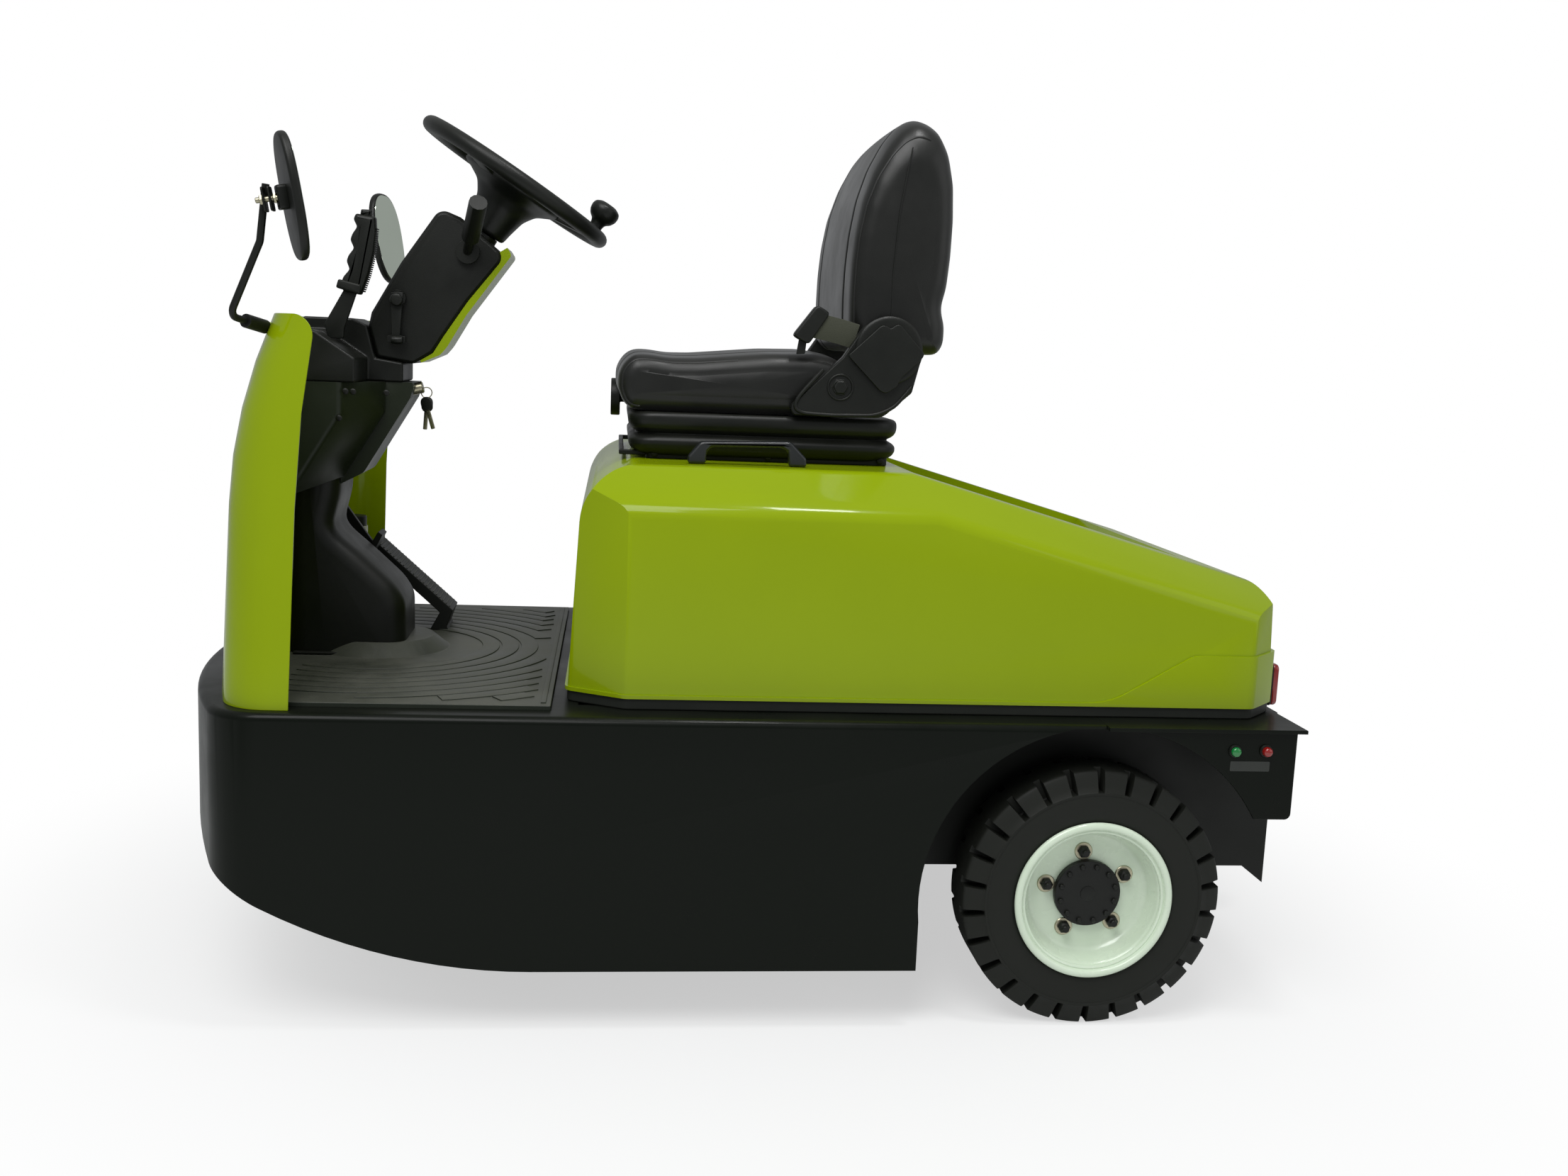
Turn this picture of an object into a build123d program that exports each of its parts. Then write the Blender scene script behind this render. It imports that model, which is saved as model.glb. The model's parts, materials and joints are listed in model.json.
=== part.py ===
from build123d import *
import math
import os

# Airport baggage tug: an electric tow tractor with one steered front wheel.
# Millimetres. +X forwards, +Y to the driver's left, +Z up.
# The origin is on the floor, midway between the nose and the tow coupling.
# The shield, dash and steering are laid out from the front axle and the deck, the hood and
# tail from the rear axle, and the seat from its own middle and the hood's top.

# Wheels
tyre_radius = 207.5
tyre_width = 112.0
track = 856.0
wheelbase = 1165.0
rim_radius = 124.0
rim_flange = 10.0
rim_wall = 6.0
disc_setback = 46.0
disc_thickness = 8.0
lug_count = 26
flats_per_lug = 2
lug_groove_width = 10.0
lug_groove_reach = 34.0
lug_groove_depth = 33.0
hub_cap_radius = 53.5
hub_cap_depth = 12.0
axle_radius = 45.0
running_gap = 0.3
bearing_gap = 0.05

# Overall body
front_overhang = 275.0
tail_behind = 430.0
skirt_half_width = 488.0
skirt_bottom = 95.0
skirt_wall = 6.0
nose_arc_radius = 1122.0
nose_corner_radius = 90.0
shoulder_radius = 12.0
deck_over_tyre = 75.0
sill_width = 48.0
nose_setback = 12.0
arch_gap = 73.5
upsweep_before_axle = 295.0
upsweep_radius = 850.0

# Rear fenders
fender_wall = 6.0
fender_half_width = 490.0
fender_plate_lip = 8.0
fender_tail = 305.0
fender_plate_reach = 13.0
fender_drop = 146.0
fender_corner = 10.0
fender_return = 26.0

# Chassis
plate = 10.0
chassis_half_width = 350.0
chassis_floor = 110.0
tail_floor = 220.0
tail_plate_behind = 333.0
front_bulkhead_behind_axle = 230.0
turntable_front = 85.0
turntable_clearance = 31.0
king_pin_radius = 25.0
outrigger = 132.0
battery_length = 440.0
battery_width = 620.0
battery_height = 580.0

# Hood, from the rear axle to the footwell
footwell_length = 337.0
hood_tail = 305.0
hood_half_width = 430.0
hood_height = 350.0
hood_step = 22.0
seal_height = 18.0
seal_width = 12.0
seal_seat = 18.0
hood_wall = 6.0
hood_bevel_width = 85.0
hood_bevel_drop = 61.0
hood_slope_bevel = 50.0
hood_front_bevel = 89.0
hood_front_cut = 55.0
hood_tail_bevel = 55.0
hood_tail_cut = 58.0
hood_corner_radius = 18.0
hood_nose_radius = 92.0
hood_tail_radius = 48.0
hood_slope = 15.4
hood_lip = 4.0
hood_step_height = 84.0
recess_half_width = 290.0
hinge_behind = 318.0
hinge_radius = 6.0
hinge_rise = 12.0
hinge_knuckle = 25.0
lamp_height = 70.0
lamp_width_place = 328.0
lamp_clearance = 7.0
handle_width = 300.0
handle_thickness = 20.0

# Seat
seat_half_width = 240.0
seat_base_length = 396.0
seat_base_behind_front = 313.0
seat_base_height = 17.0
bellows_height = 29.5

# Steering
column_half_width = 60.0
wheel_rim_radius = 166.0
wheel_grip_radius = 14.0
wheel_tilt = 31.8
wheel_behind_axle = 224.0
wheel_height = 811.5

# Shield
shield_wall = 4.0
shield_height = 573.0
shield_half_width = 468.0
shield_top_half_width = 436.0
shield_ahead = 227.0
shield_rake = 83.0
shield_lean = 14.0
shield_bend_height = 290.0
shield_bend_steps = 4
shield_arc_radius = 1500.0
shield_corner_radius = 80.0
arm_radius = 5.5

# Dash, pedestal and controls
pedestal_half_width = 90.0
pedestal_draft = 12.0
boss_half_width = 62.0
hump_half_width = 66.0
handbrake_width = 118.0
brake_width = -125.0
accelerator_width = -200.0

# Floor
mat_thickness = 8.0
dome_radius = 118.0
dome_height = 22.0
dome_slope = 50.0

nose_ahead = wheelbase + front_overhang
rear_axle_x = tail_behind - (nose_ahead + tail_behind) / 2
front_axle_x = rear_axle_x + wheelbase
deck_top = 2 * tyre_radius + deck_over_tyre
hood_front = wheelbase - footwell_length
hood_base = deck_top + seal_height
hood_top = hood_base + hood_height
fender_plate_half_width = fender_half_width + fender_plate_lip
fender_plate_tail = fender_tail + fender_plate_reach
arch_radius = tyre_radius + arch_gap
seat_base_middle = hood_front - seat_base_behind_front
lamp_foot = deck_top + lamp_clearance
parts_folder = "parts"
os.makedirs(parts_folder, exist_ok=True)


def rear_side(width):
    """Upright plane along the machine: forwards from the rear axle, and up from the floor."""
    return Plane(origin=(rear_axle_x, width, 0), x_dir=(1, 0, 0), z_dir=(0, -1, 0))


def front_side(width):
    """Upright plane along the machine: forwards from the front axle, and up from the deck."""
    return Plane(origin=(front_axle_x, width, deck_top), x_dir=(1, 0, 0), z_dir=(0, -1, 0))


def seat_side(width):
    """Upright plane along the machine: forwards from the seat's middle, and up from the hood's top."""
    middle = rear_axle_x + seat_base_middle
    return Plane(origin=(middle, width, hood_top), x_dir=(1, 0, 0), z_dir=(0, -1, 0))


def level_plane(height):
    """Level plane: forwards from the rear axle, and left."""
    return Plane(origin=(rear_axle_x, 0, height), x_dir=(1, 0, 0), z_dir=(0, 0, 1))


def deck_plane(up):
    """Level plane above the deck: forwards from the front axle, and left."""
    return Plane(origin=(front_axle_x, 0, deck_top + up), x_dir=(1, 0, 0), z_dir=(0, 0, 1))


def cross_plane(ahead):
    """Upright plane across the machine: left, and up from the floor."""
    return Plane(origin=(rear_axle_x + ahead, 0, 0), x_dir=(0, 1, 0), z_dir=(1, 0, 0))


def axle_plane(ahead, width, outward):
    """Upright plane on a wheel's axis, facing outwards to one side."""
    return Plane(origin=(rear_axle_x + ahead, width, tyre_radius), x_dir=(1, 0, 0), z_dir=(0, outward, 0))


def save(piece, name):
    """Label one finished piece and write it under its own name."""
    piece.part.label = name
    export_step(piece.part, parts_folder + "/" + name + ".step")


def front_cross(ahead):
    """Upright plane across the machine, ahead of the front axle: left, and up from the deck."""
    return Plane(origin=(front_axle_x + ahead, 0, deck_top), x_dir=(0, 1, 0), z_dir=(1, 0, 0))


def outline(plane, points, corners=(), inset=0.0):
    """Closed outline of straight runs, some corners rounded (corner number, radius), then set in."""
    with BuildSketch(plane) as shape:
        with BuildLine():
            Polyline(*points, close=True)
        make_face()
        for number, radius in corners:
            fillet(shape.vertices().sort_by_distance((*points[number], 0))[0], radius)
        if inset:
            offset(amount=-inset, kind=Kind.INTERSECTION)
    return shape.sketch


def nose_sketch(plane, inset, rear, setback=0.0):
    """Plan of the body from a straight rear end to the rounded nose."""
    half = skirt_half_width - inset
    radius = nose_arc_radius - inset
    centre = nose_ahead - nose_arc_radius - setback
    corner = centre + math.sqrt(radius ** 2 - half ** 2)
    with BuildSketch(plane) as plan:
        with BuildLine():
            ThreePointArc((corner, -half), (centre + radius, 0), (corner, half))
            Polyline((corner, half), (rear, half), (rear, -half), (corner, -half))
        make_face()
        front = plan.vertices().group_by(Axis.X)[-1]
        fillet(front, nose_corner_radius - inset)
    return plan.sketch


# Skirt: one wrapped wall with a rounded shoulder, from the rear arches round the nose
arch_foot = arch_radius - 2.0
upsweep_start = wheelbase - upsweep_before_axle
footwell_rear = hood_front + hood_step
opening_behind = 20.0
skirt_outside = nose_sketch(level_plane(skirt_bottom), 0, 0)
skirt_inside = nose_sketch(level_plane(skirt_bottom - 1), skirt_wall, -10)
footwell_edge = nose_sketch(level_plane(deck_top), sill_width, footwell_rear, nose_setback)
with BuildPart() as skirt:
    extrude(skirt_outside, amount=deck_top - skirt_bottom)
    shoulder = skirt.faces().sort_by(Axis.Z)[-1].outer_wire().edges()
    fillet(shoulder.filter_by(lambda edge: edge.center().X > rear_axle_x + 5), shoulder_radius)
    extrude(skirt_inside, amount=deck_top - skirt_wall - skirt_bottom + 1, mode=Mode.SUBTRACT)
    extrude(footwell_edge, amount=-2 * skirt_wall, mode=Mode.SUBTRACT)
    with BuildSketch(level_plane(deck_top)):
        with Locations(((hood_front - seal_seat - opening_behind) / 2, 0)):
            Rectangle(hood_front - seal_seat + opening_behind, 2 * (hood_half_width - seal_width - seal_seat))
    extrude(amount=-2 * skirt_wall, mode=Mode.SUBTRACT)
    with BuildSketch(rear_side(0)):
        with Locations((0, tyre_radius)):
            Circle(arch_radius)
        with Locations((arch_foot / 2, tyre_radius / 2)):
            Rectangle(arch_foot, tyre_radius)
        with Locations((0, deck_top - skirt_wall + arch_radius)):
            Rectangle(2 * arch_radius, 2 * arch_radius, mode=Mode.SUBTRACT)
    extrude(amount=skirt_half_width + 10, both=True, mode=Mode.SUBTRACT)
    with BuildSketch(rear_side(0)):
        with BuildLine():
            upsweep = CenterArc((upsweep_start, skirt_bottom + upsweep_radius), upsweep_radius, 270, 50)
            Polyline(upsweep @ 1, (2 * nose_ahead, 0), (upsweep_start, 0), upsweep @ 0)
        make_face()
    extrude(amount=skirt_half_width + 10, both=True, mode=Mode.SUBTRACT)
save(skirt, "skirt")

# Rear fenders: a top plate and an outer panel with the rear half of the arch, on each side
fender_bottom = deck_top - fender_drop
fender_plate_middle = (chassis_half_width + fender_plate_half_width) / 2
with BuildPart() as rear_fenders:
    for side in (1, -1):
        with BuildSketch(rear_side(side * (fender_half_width - fender_wall / 2))) as panel:
            with BuildLine():
                Polyline((0, deck_top - fender_wall), (-fender_tail, deck_top - fender_wall),
                         (-fender_tail, fender_bottom), (0, fender_bottom), close=True)
            make_face()
            fillet(panel.vertices().sort_by_distance((-fender_tail, fender_bottom, 0))[0], fender_corner)
            with Locations((0, tyre_radius)):
                Circle(arch_radius, mode=Mode.SUBTRACT)
        extrude(amount=fender_wall / 2, both=True)
        with BuildSketch(level_plane(fender_bottom + fender_corner)):
            with Locations((-fender_tail + fender_wall / 2, side * (fender_half_width - fender_return / 2))):
                Rectangle(fender_wall, fender_return)
        extrude(amount=fender_drop - fender_corner - fender_wall)
        with BuildSketch(level_plane(deck_top - fender_wall)):
            with Locations((-fender_plate_tail / 2, side * fender_plate_middle)):
                Rectangle(fender_plate_tail, fender_plate_half_width - chassis_half_width)
        extrude(amount=fender_wall)
save(rear_fenders, "rear_fenders")

# Two buttons on the driver's left rear fender, each in a collar
button_drop = 36.0
button_radius = 11.0
collar_radius = 15.0
collar_height = 4.0
# How far each button is behind the rear axle, and how far its head stands out of its collar
buttons = ((205, 8), (255, 14))
with BuildPart() as fender_buttons:
    for behind, head in buttons:
        with BuildSketch(rear_side(fender_half_width)):
            with Locations((-behind, deck_top - button_drop)):
                Circle(collar_radius)
        extrude(amount=-collar_height)
        with BuildSketch(rear_side(fender_half_width + collar_height)):
            with Locations((-behind, deck_top - button_drop)):
                Circle(button_radius)
        extrude(amount=-head)
save(fender_buttons, "fender_buttons")

# Chassis: welded side plates, tray, bulkheads, turntable plate and tail plate
battery_front = hood_front - 48
battery_rear = battery_front - battery_length
tray_rear = battery_rear - plate
bay_start = wheelbase - front_bulkhead_behind_axle
turntable_floor = 2 * tyre_radius + turntable_clearance
chassis_top = deck_top - skirt_wall
chassis_front = wheelbase + turntable_front
axle_seat = tyre_radius + 54.5
chassis_side = ((-tail_plate_behind, chassis_top), (-tail_plate_behind, tail_floor - 29),
                (-tail_plate_behind + 38, tail_floor), (-110, tail_floor), (-70, axle_seat), (70, axle_seat),
                (110, tail_floor), (tray_rear - 60, tail_floor), (tray_rear, chassis_floor),
                (wheelbase - 165, chassis_floor), (chassis_front, chassis_floor + 220),
                (chassis_front, chassis_top))
outrigger_length = 1100.0
outrigger_middle = bay_start - 275
bridge_height = axle_seat + 37.5
bridge_length = 240.0
# Bulkheads across the machine: ahead of the rear axle, and the height of the foot
bulkheads = ((tray_rear, chassis_floor), (bay_start - plate, chassis_floor), (-tail_plate_behind, tail_floor))
hinge_height = deck_top + hinge_rise
hinge_widths = (-240, 240)
side_plates = [outline(rear_side(side * (chassis_half_width - plate / 2)), chassis_side) for side in (1, -1)]
with BuildPart() as chassis:
    for side_plate in side_plates:
        extrude(side_plate, amount=plate / 2, both=True)
    for side in (1, -1):
        with BuildSketch(level_plane(chassis_top - plate)):
            with Locations((outrigger_middle, side * (chassis_half_width + outrigger / 2))):
                Rectangle(outrigger_length, outrigger)
        extrude(amount=plate)
    with BuildSketch(level_plane(chassis_floor)):
        with Locations(((tray_rear + bay_start) / 2, 0)):
            Rectangle(bay_start - tray_rear, 2 * chassis_half_width - plate)
    extrude(amount=plate)
    for ahead, low in bulkheads:
        with BuildSketch(cross_plane(ahead)):
            with Locations((0, (low + chassis_top) / 2)):
                Rectangle(2 * chassis_half_width - plate, chassis_top - low)
        extrude(amount=plate)
    with BuildSketch(level_plane(turntable_floor)):
        with Locations(((bay_start + chassis_front) / 2, 0)):
            Rectangle(chassis_front - bay_start + 2 * plate, 2 * chassis_half_width - plate)
        with Locations((wheelbase, 0)):
            Circle(king_pin_radius + bearing_gap, mode=Mode.SUBTRACT)
    extrude(amount=plate)
    with BuildSketch(level_plane(bridge_height)):
        Rectangle(bridge_length, 2 * chassis_half_width - plate)
    extrude(amount=plate)
    for middle in hinge_widths:
        for step in (-1, 1):
            hinge_side = Plane(origin=(rear_axle_x, middle + step * hinge_knuckle, 0), x_dir=(1, 0, 0),
                               z_dir=(0, -1, 0))
            with BuildSketch(hinge_side):
                with Locations((-hinge_behind, hinge_height)):
                    Circle(hinge_radius)
                with BuildLine():
                    Polyline((-hinge_behind - hinge_radius, hinge_height), (-hinge_behind, hinge_height),
                             (-hinge_behind, chassis_top), (-tail_plate_behind, chassis_top), close=True)
                make_face()
            extrude(amount=hinge_knuckle / 2 - running_gap, both=True)
save(chassis, "chassis")

# Battery: one plain block on the tray
battery_seat = chassis_floor + plate
with BuildPart() as battery:
    with BuildSketch(level_plane(battery_seat)):
        with Locations(((battery_front + battery_rear) / 2, 0)):
            Rectangle(battery_length, battery_width)
    extrude(amount=battery_height)
save(battery, "battery")

# Drive axle: tube with its gearbox, the motor behind it and two pads under the chassis
axle_end = track / 2 - tyre_width / 2 - 14
# Half outline of the housing: out from the middle, and the radius
banjo = ((0, 92), (34, 84), (62, 62), (110, axle_radius), (axle_end - 30, axle_radius),
         (axle_end - 30, 52), (axle_end, 52))
axle_pad_width = 210.0
motor_height = tyre_radius + 10
# The motor's runs behind the axle: start, length and radius
motor_runs = ((40, 200, 75), (240, 40, 62))
with BuildPart() as drive_axle:
    with BuildSketch(Plane(origin=(rear_axle_x, 0, tyre_radius), x_dir=(0, 1, 0), z_dir=(1, 0, 0))):
        with BuildLine():
            Polyline((0, 0), *banjo, (axle_end, 0), close=True)
        make_face()
        mirror(about=Plane.YZ)
    revolve(axis=Axis((rear_axle_x, 0, tyre_radius), (0, 1, 0)))
    with BuildSketch(level_plane(tyre_radius)):
        with Locations((0, axle_pad_width), (0, -axle_pad_width)):
            Rectangle(80, 70)
    extrude(amount=bridge_height - tyre_radius)
    for behind, length, radius in motor_runs:
        with BuildSketch(Plane(origin=(rear_axle_x - behind, 0, motor_height), z_dir=(-1, 0, 0))):
            Circle(radius)
        extrude(amount=length)
save(drive_axle, "drive_axle")

# Tow coupling: a back plate with two jaws, and its pin
coupling_height = 300.0
mouth = 50.0
jaw = 16.0
tow_pin_radius = 12.5
pin_behind = tail_behind - 34
jaw_low = coupling_height - mouth / 2 - jaw
jaw_high = coupling_height + mouth / 2
backing = tail_plate_behind + 12
with BuildPart() as tow_coupling:
    with BuildSketch(cross_plane(-backing)):
        with Locations((0, coupling_height)):
            Rectangle(160, 190)
    extrude(amount=12)
    for level in (jaw_low, jaw_high):
        with BuildSketch(level_plane(level)):
            with BuildLine():
                Polyline((-backing, 50), (-pin_behind, 34))
                RadiusArc((-pin_behind, 34), (-pin_behind, -34), -34)
                Polyline((-pin_behind, -34), (-backing, -50), (-backing, 50))
            make_face()
            with Locations((-pin_behind, 0)):
                Circle(tow_pin_radius + running_gap, mode=Mode.SUBTRACT)
        extrude(amount=jaw)
save(tow_coupling, "tow_coupling")

# The pin's runs: foot, length and radius
pin_runs = ((jaw_low - 8, jaw_high + jaw - jaw_low + 8, tow_pin_radius), (jaw_high + jaw, 8, 20),
            (jaw_high + jaw + 8, 40, 8))
with BuildPart() as tow_pin:
    for foot, length, radius in pin_runs:
        with BuildSketch(level_plane(foot)):
            with Locations((-pin_behind, 0)):
                Circle(radius)
        extrude(amount=length)
save(tow_pin, "tow_pin")

tyre_half = tyre_width / 2
tread_half = tyre_half - 12
bead_height = 16.0


def tyre_at(ahead, width, name):
    """Solid tyre of many small flats, with a groove between every two shoulder lugs."""
    flats = flats_per_lug * lug_count
    turn = 90 + 180 / flats
    shoulder_width = tyre_half - 1 - tread_half
    shoulder_slant = math.degrees(math.atan2(lug_groove_depth, shoulder_width))
    with BuildPart() as tyre:
        with BuildSketch(axle_plane(ahead, width, 1)):
            RegularPolygon(tyre_radius, flats, major_radius=False, rotation=turn)
        extrude(amount=tread_half, both=True)
        for outward in (1, -1):
            with BuildSketch(axle_plane(ahead, width + outward * tread_half, outward)):
                RegularPolygon(tyre_radius, flats, major_radius=False, rotation=turn)
            extrude(amount=shoulder_width, taper=shoulder_slant)
            with BuildSketch(axle_plane(ahead, width + outward * tyre_half, outward)):
                with PolarLocations(tyre_radius, lug_count, start_angle=90 + 180 / lug_count):
                    Rectangle(2 * lug_groove_depth, lug_groove_width)
            extrude(amount=-lug_groove_reach, mode=Mode.SUBTRACT)
            with BuildSketch(axle_plane(ahead, width + outward * tyre_half, outward)):
                RegularPolygon(rim_radius + bead_height, flats, major_radius=False)
            extrude(amount=-bead_height / 2, taper=45, mode=Mode.SUBTRACT)
        with BuildSketch(axle_plane(ahead, width, 1)):
            RegularPolygon(rim_radius, flats, major_radius=False)
        extrude(amount=tyre_width, both=True, mode=Mode.SUBTRACT)
    save(tyre, name)


def rim_form(ahead, width, outward, bore):
    """Pressed rim: a barrel with a lip at each end and a dished disc behind the outer one."""
    face = tyre_half - disc_setback
    lip = tyre_half + 2
    barrel = rim_radius - rim_wall
    # Half section: outward from the rim's middle, and the radius
    seat = rim_radius - running_gap
    section = ((lip, rim_radius - rim_flange), (lip, rim_radius), (tyre_half - 7.7, seat),
               (7.7 - tyre_half, seat), (-lip, rim_radius), (-lip, rim_radius - rim_flange),
               (8 - tyre_half, barrel - 2), (face - disc_thickness, barrel - 4),
               (face - disc_thickness, bore), (face, bore), (face, barrel - 24), (face + 10, barrel - 8),
               (tyre_half - 14, barrel))
    with BuildPart() as rim:
        with BuildSketch(Plane(origin=(rear_axle_x + ahead, width, tyre_radius), x_dir=(0, outward, 0),
                               z_dir=(outward, 0, 0))):
            with BuildLine():
                Polyline(*section, close=True)
            make_face()
        revolve(axis=Axis((rear_axle_x + ahead, 0, tyre_radius), (0, 1, 0)))
    return rim


cap_face = track / 2 + tyre_half - disc_setback
hub_radius = axle_radius + 5
for side, word in ((1, "left"), (-1, "right")):
    tyre_at(0, side * track / 2, "tyre_rear_" + word)
    save(rim_form(0, side * track / 2, side, hub_radius), "rim_rear_" + word)
    with BuildPart() as hub:
        with BuildSketch(axle_plane(0, side * (axle_end + running_gap), side)):
            Circle(hub_radius)
        extrude(amount=cap_face - axle_end - running_gap)
        with BuildSketch(axle_plane(0, side * cap_face, side)):
            Circle(hub_cap_radius)
        extrude(amount=hub_cap_depth)
    save(hub, "hub_rear_" + word)

# Steering fork and front wheel
fork_gap = tyre_half + 10
fork_wall = 12.0
axle_pin_radius = 17.5
front_boss_radius = 34.0
fork_top = turntable_floor - running_gap
turntable_foot = 2 * tyre_radius + 8
turntable_radius = 120.0
fork_side = ((wheelbase - 60, fork_top), (wheelbase - 34, tyre_radius), (wheelbase - 34, tyre_radius - 34),
             (wheelbase + 34, tyre_radius - 34), (wheelbase + 34, tyre_radius), (wheelbase + 60, fork_top))
fork_arms = [outline(rear_side(side * (fork_gap + fork_wall / 2)), fork_side, ((2, 30), (3, 30)))
             for side in (1, -1)]
with BuildPart() as steer_fork:
    for fork_arm in fork_arms:
        extrude(fork_arm, amount=fork_wall / 2, both=True)
    with BuildSketch(level_plane(turntable_foot)):
        with Locations((wheelbase, 0)):
            Circle(turntable_radius)
    extrude(amount=fork_top - turntable_foot)
    with BuildSketch(level_plane(fork_top)):
        with Locations((wheelbase, 0)):
            Circle(king_pin_radius)
    extrude(amount=plate + 12)
    with BuildSketch(axle_plane(wheelbase, 0, 1)):
        Circle(axle_pin_radius)
    extrude(amount=fork_gap + fork_wall / 2, both=True)
save(steer_fork, "steer_fork")

tyre_at(wheelbase, 0, "tyre_front")
front_rim_form = rim_form(wheelbase, 0, 1, front_boss_radius - 4).part
with BuildPart() as rim_front:
    add(front_rim_form)
    with BuildSketch(axle_plane(wheelbase, 0, 1)):
        Circle(front_boss_radius)
        Circle(axle_pin_radius + bearing_gap, mode=Mode.SUBTRACT)
    extrude(amount=fork_gap - 1, both=True)
save(rim_front, "rim_front")

# Floor plate and mat with the dome over the steering bearing
floor_front = wheelbase + 155
floor_plate_drop = 12.0
mat_sink = 1.0
with BuildPart() as floor_plate:
    with BuildSketch(level_plane(deck_top - floor_plate_drop)):
        with Locations(((bay_start + floor_front) / 2, 0)):
            Rectangle(floor_front - bay_start, 2 * (chassis_half_width - plate - running_gap))
    extrude(amount=floor_plate_drop - mat_sink)
save(floor_plate, "floor_plate")

mat_top = mat_thickness - mat_sink
mat_rear = footwell_rear + running_gap
mat_plan = nose_sketch(level_plane(deck_top - mat_sink), sill_width + running_gap, mat_rear, nose_setback)
with BuildPart() as floor_mat:
    extrude(mat_plan, amount=mat_thickness)
    with BuildSketch(deck_plane(mat_top)):
        Circle(dome_radius)
    extrude(amount=dome_height, taper=dome_slope)
save(floor_mat, "floor_mat")

# Shield: bent sheet round the driver's legs, leaning back towards its top.
# Its crown leans straight back at first, then along a parabola to its crest.
shield_lean_slope = shield_lean / shield_bend_height
shield_levels = [0] + [shield_bend_height + (shield_height - shield_bend_height) * step / shield_bend_steps
                       for step in range(shield_bend_steps + 1)]
# The rear edge, from the deck up to the rounded top corner: ahead of the front axle, and up
shield_edge = ((64, -10), (64, 0), (56, 292), (47, 432), (32, shield_height - 33))
shield_edge_corner = ((41, shield_height - 9), (65, shield_height))
# The mirror arms end on a boss each: ahead of the front axle, left, and up from the deck
arm_foot = (shield_ahead - 95, shield_half_width - 66, shield_height - 13)
arm_bend = (shield_ahead - 80, shield_half_width - 36, shield_height - 7)
boss_run = Vector(*arm_foot) - Vector(*arm_bend)
boss_length = 66.0
boss_radius = 9.0


def crown_at(up):
    """How far ahead of the front axle the shield's crown stands at a height above the deck."""
    rise = max(up - shield_bend_height, 0)
    straight = shield_ahead - shield_lean_slope * up
    run = shield_height - shield_bend_height
    bend = shield_rake - shield_lean_slope * shield_height
    return straight - bend * (rise / run) ** 2


def shield_section(up, rear, inset):
    """Horseshoe section of the shield at one height, closed at its open rear side."""
    narrowing = (shield_half_width - shield_top_half_width) * up / shield_height
    half = shield_half_width - narrowing - inset
    crown = crown_at(up) - inset
    radius = shield_arc_radius - inset
    corner = crown - radius + math.sqrt(radius ** 2 - half ** 2)
    with BuildSketch(deck_plane(up)) as section:
        with BuildLine():
            ThreePointArc((corner, -half), (crown, 0), (corner, half))
            Polyline((corner, half), (rear, half), (rear, -half), (corner, -half))
        make_face()
        fillet(section.vertices().group_by(Axis.X)[-1], shield_corner_radius - inset)
    return section.sketch


shield_outside = [shield_section(up, -60, 0) for up in shield_levels]
shield_inside = [shield_section(up, -70, shield_wall) for up in shield_levels]
with BuildPart() as shield:
    loft(shield_outside, ruled=True)
    for side in (1, -1):
        boss_end = (front_axle_x + arm_foot[0], side * arm_foot[1], deck_top + arm_foot[2])
        with BuildSketch(Plane(origin=boss_end, z_dir=(boss_run.X, side * boss_run.Y, boss_run.Z))):
            RegularPolygon(boss_radius, 12)
        extrude(amount=boss_length)
    loft(shield_inside, ruled=True, mode=Mode.SUBTRACT)
    with BuildSketch(front_side(0)):
        with BuildLine():
            Polyline((-90, -10), *shield_edge)
            ThreePointArc(shield_edge[-1], *shield_edge_corner)
            Polyline(shield_edge_corner[1], (65, shield_height + 20), (-90, shield_height + 20), (-90, -10))
        make_face()
    extrude(amount=shield_half_width + 10, both=True, mode=Mode.SUBTRACT)
save(shield, "shield")

# Pedestal boot under the column, standing over the dome and up to the console's foot
console_foot = 295.3
pedestal_top = console_foot - running_gap
pedestal_points = ((-52, mat_top), (-50, 101), (25, 179), (72, 222), (46, pedestal_top), (90, pedestal_top),
                   (119, 285), (145, 282), (145, mat_top))
pedestal_side = outline(front_side(0), pedestal_points, ((1, 40), (2, 60), (3, 30)))
pedestal_crown = pedestal_half_width - pedestal_draft
pedestal_front_points = ((-pedestal_half_width, mat_top), (pedestal_half_width, mat_top),
                         (pedestal_crown, pedestal_top), (-pedestal_crown, pedestal_top))
pedestal_front_view = outline(front_cross(-100), pedestal_front_points)
with BuildPart() as pedestal:
    extrude(pedestal_side, amount=pedestal_half_width + 10, both=True)
    extrude(pedestal_front_view, amount=300, mode=Mode.INTERSECT)
    with BuildSketch(deck_plane(mat_top)):
        Circle(dome_radius + running_gap)
    extrude(amount=dome_height + running_gap, taper=dome_slope, mode=Mode.SUBTRACT)
save(pedestal, "pedestal")

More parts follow.
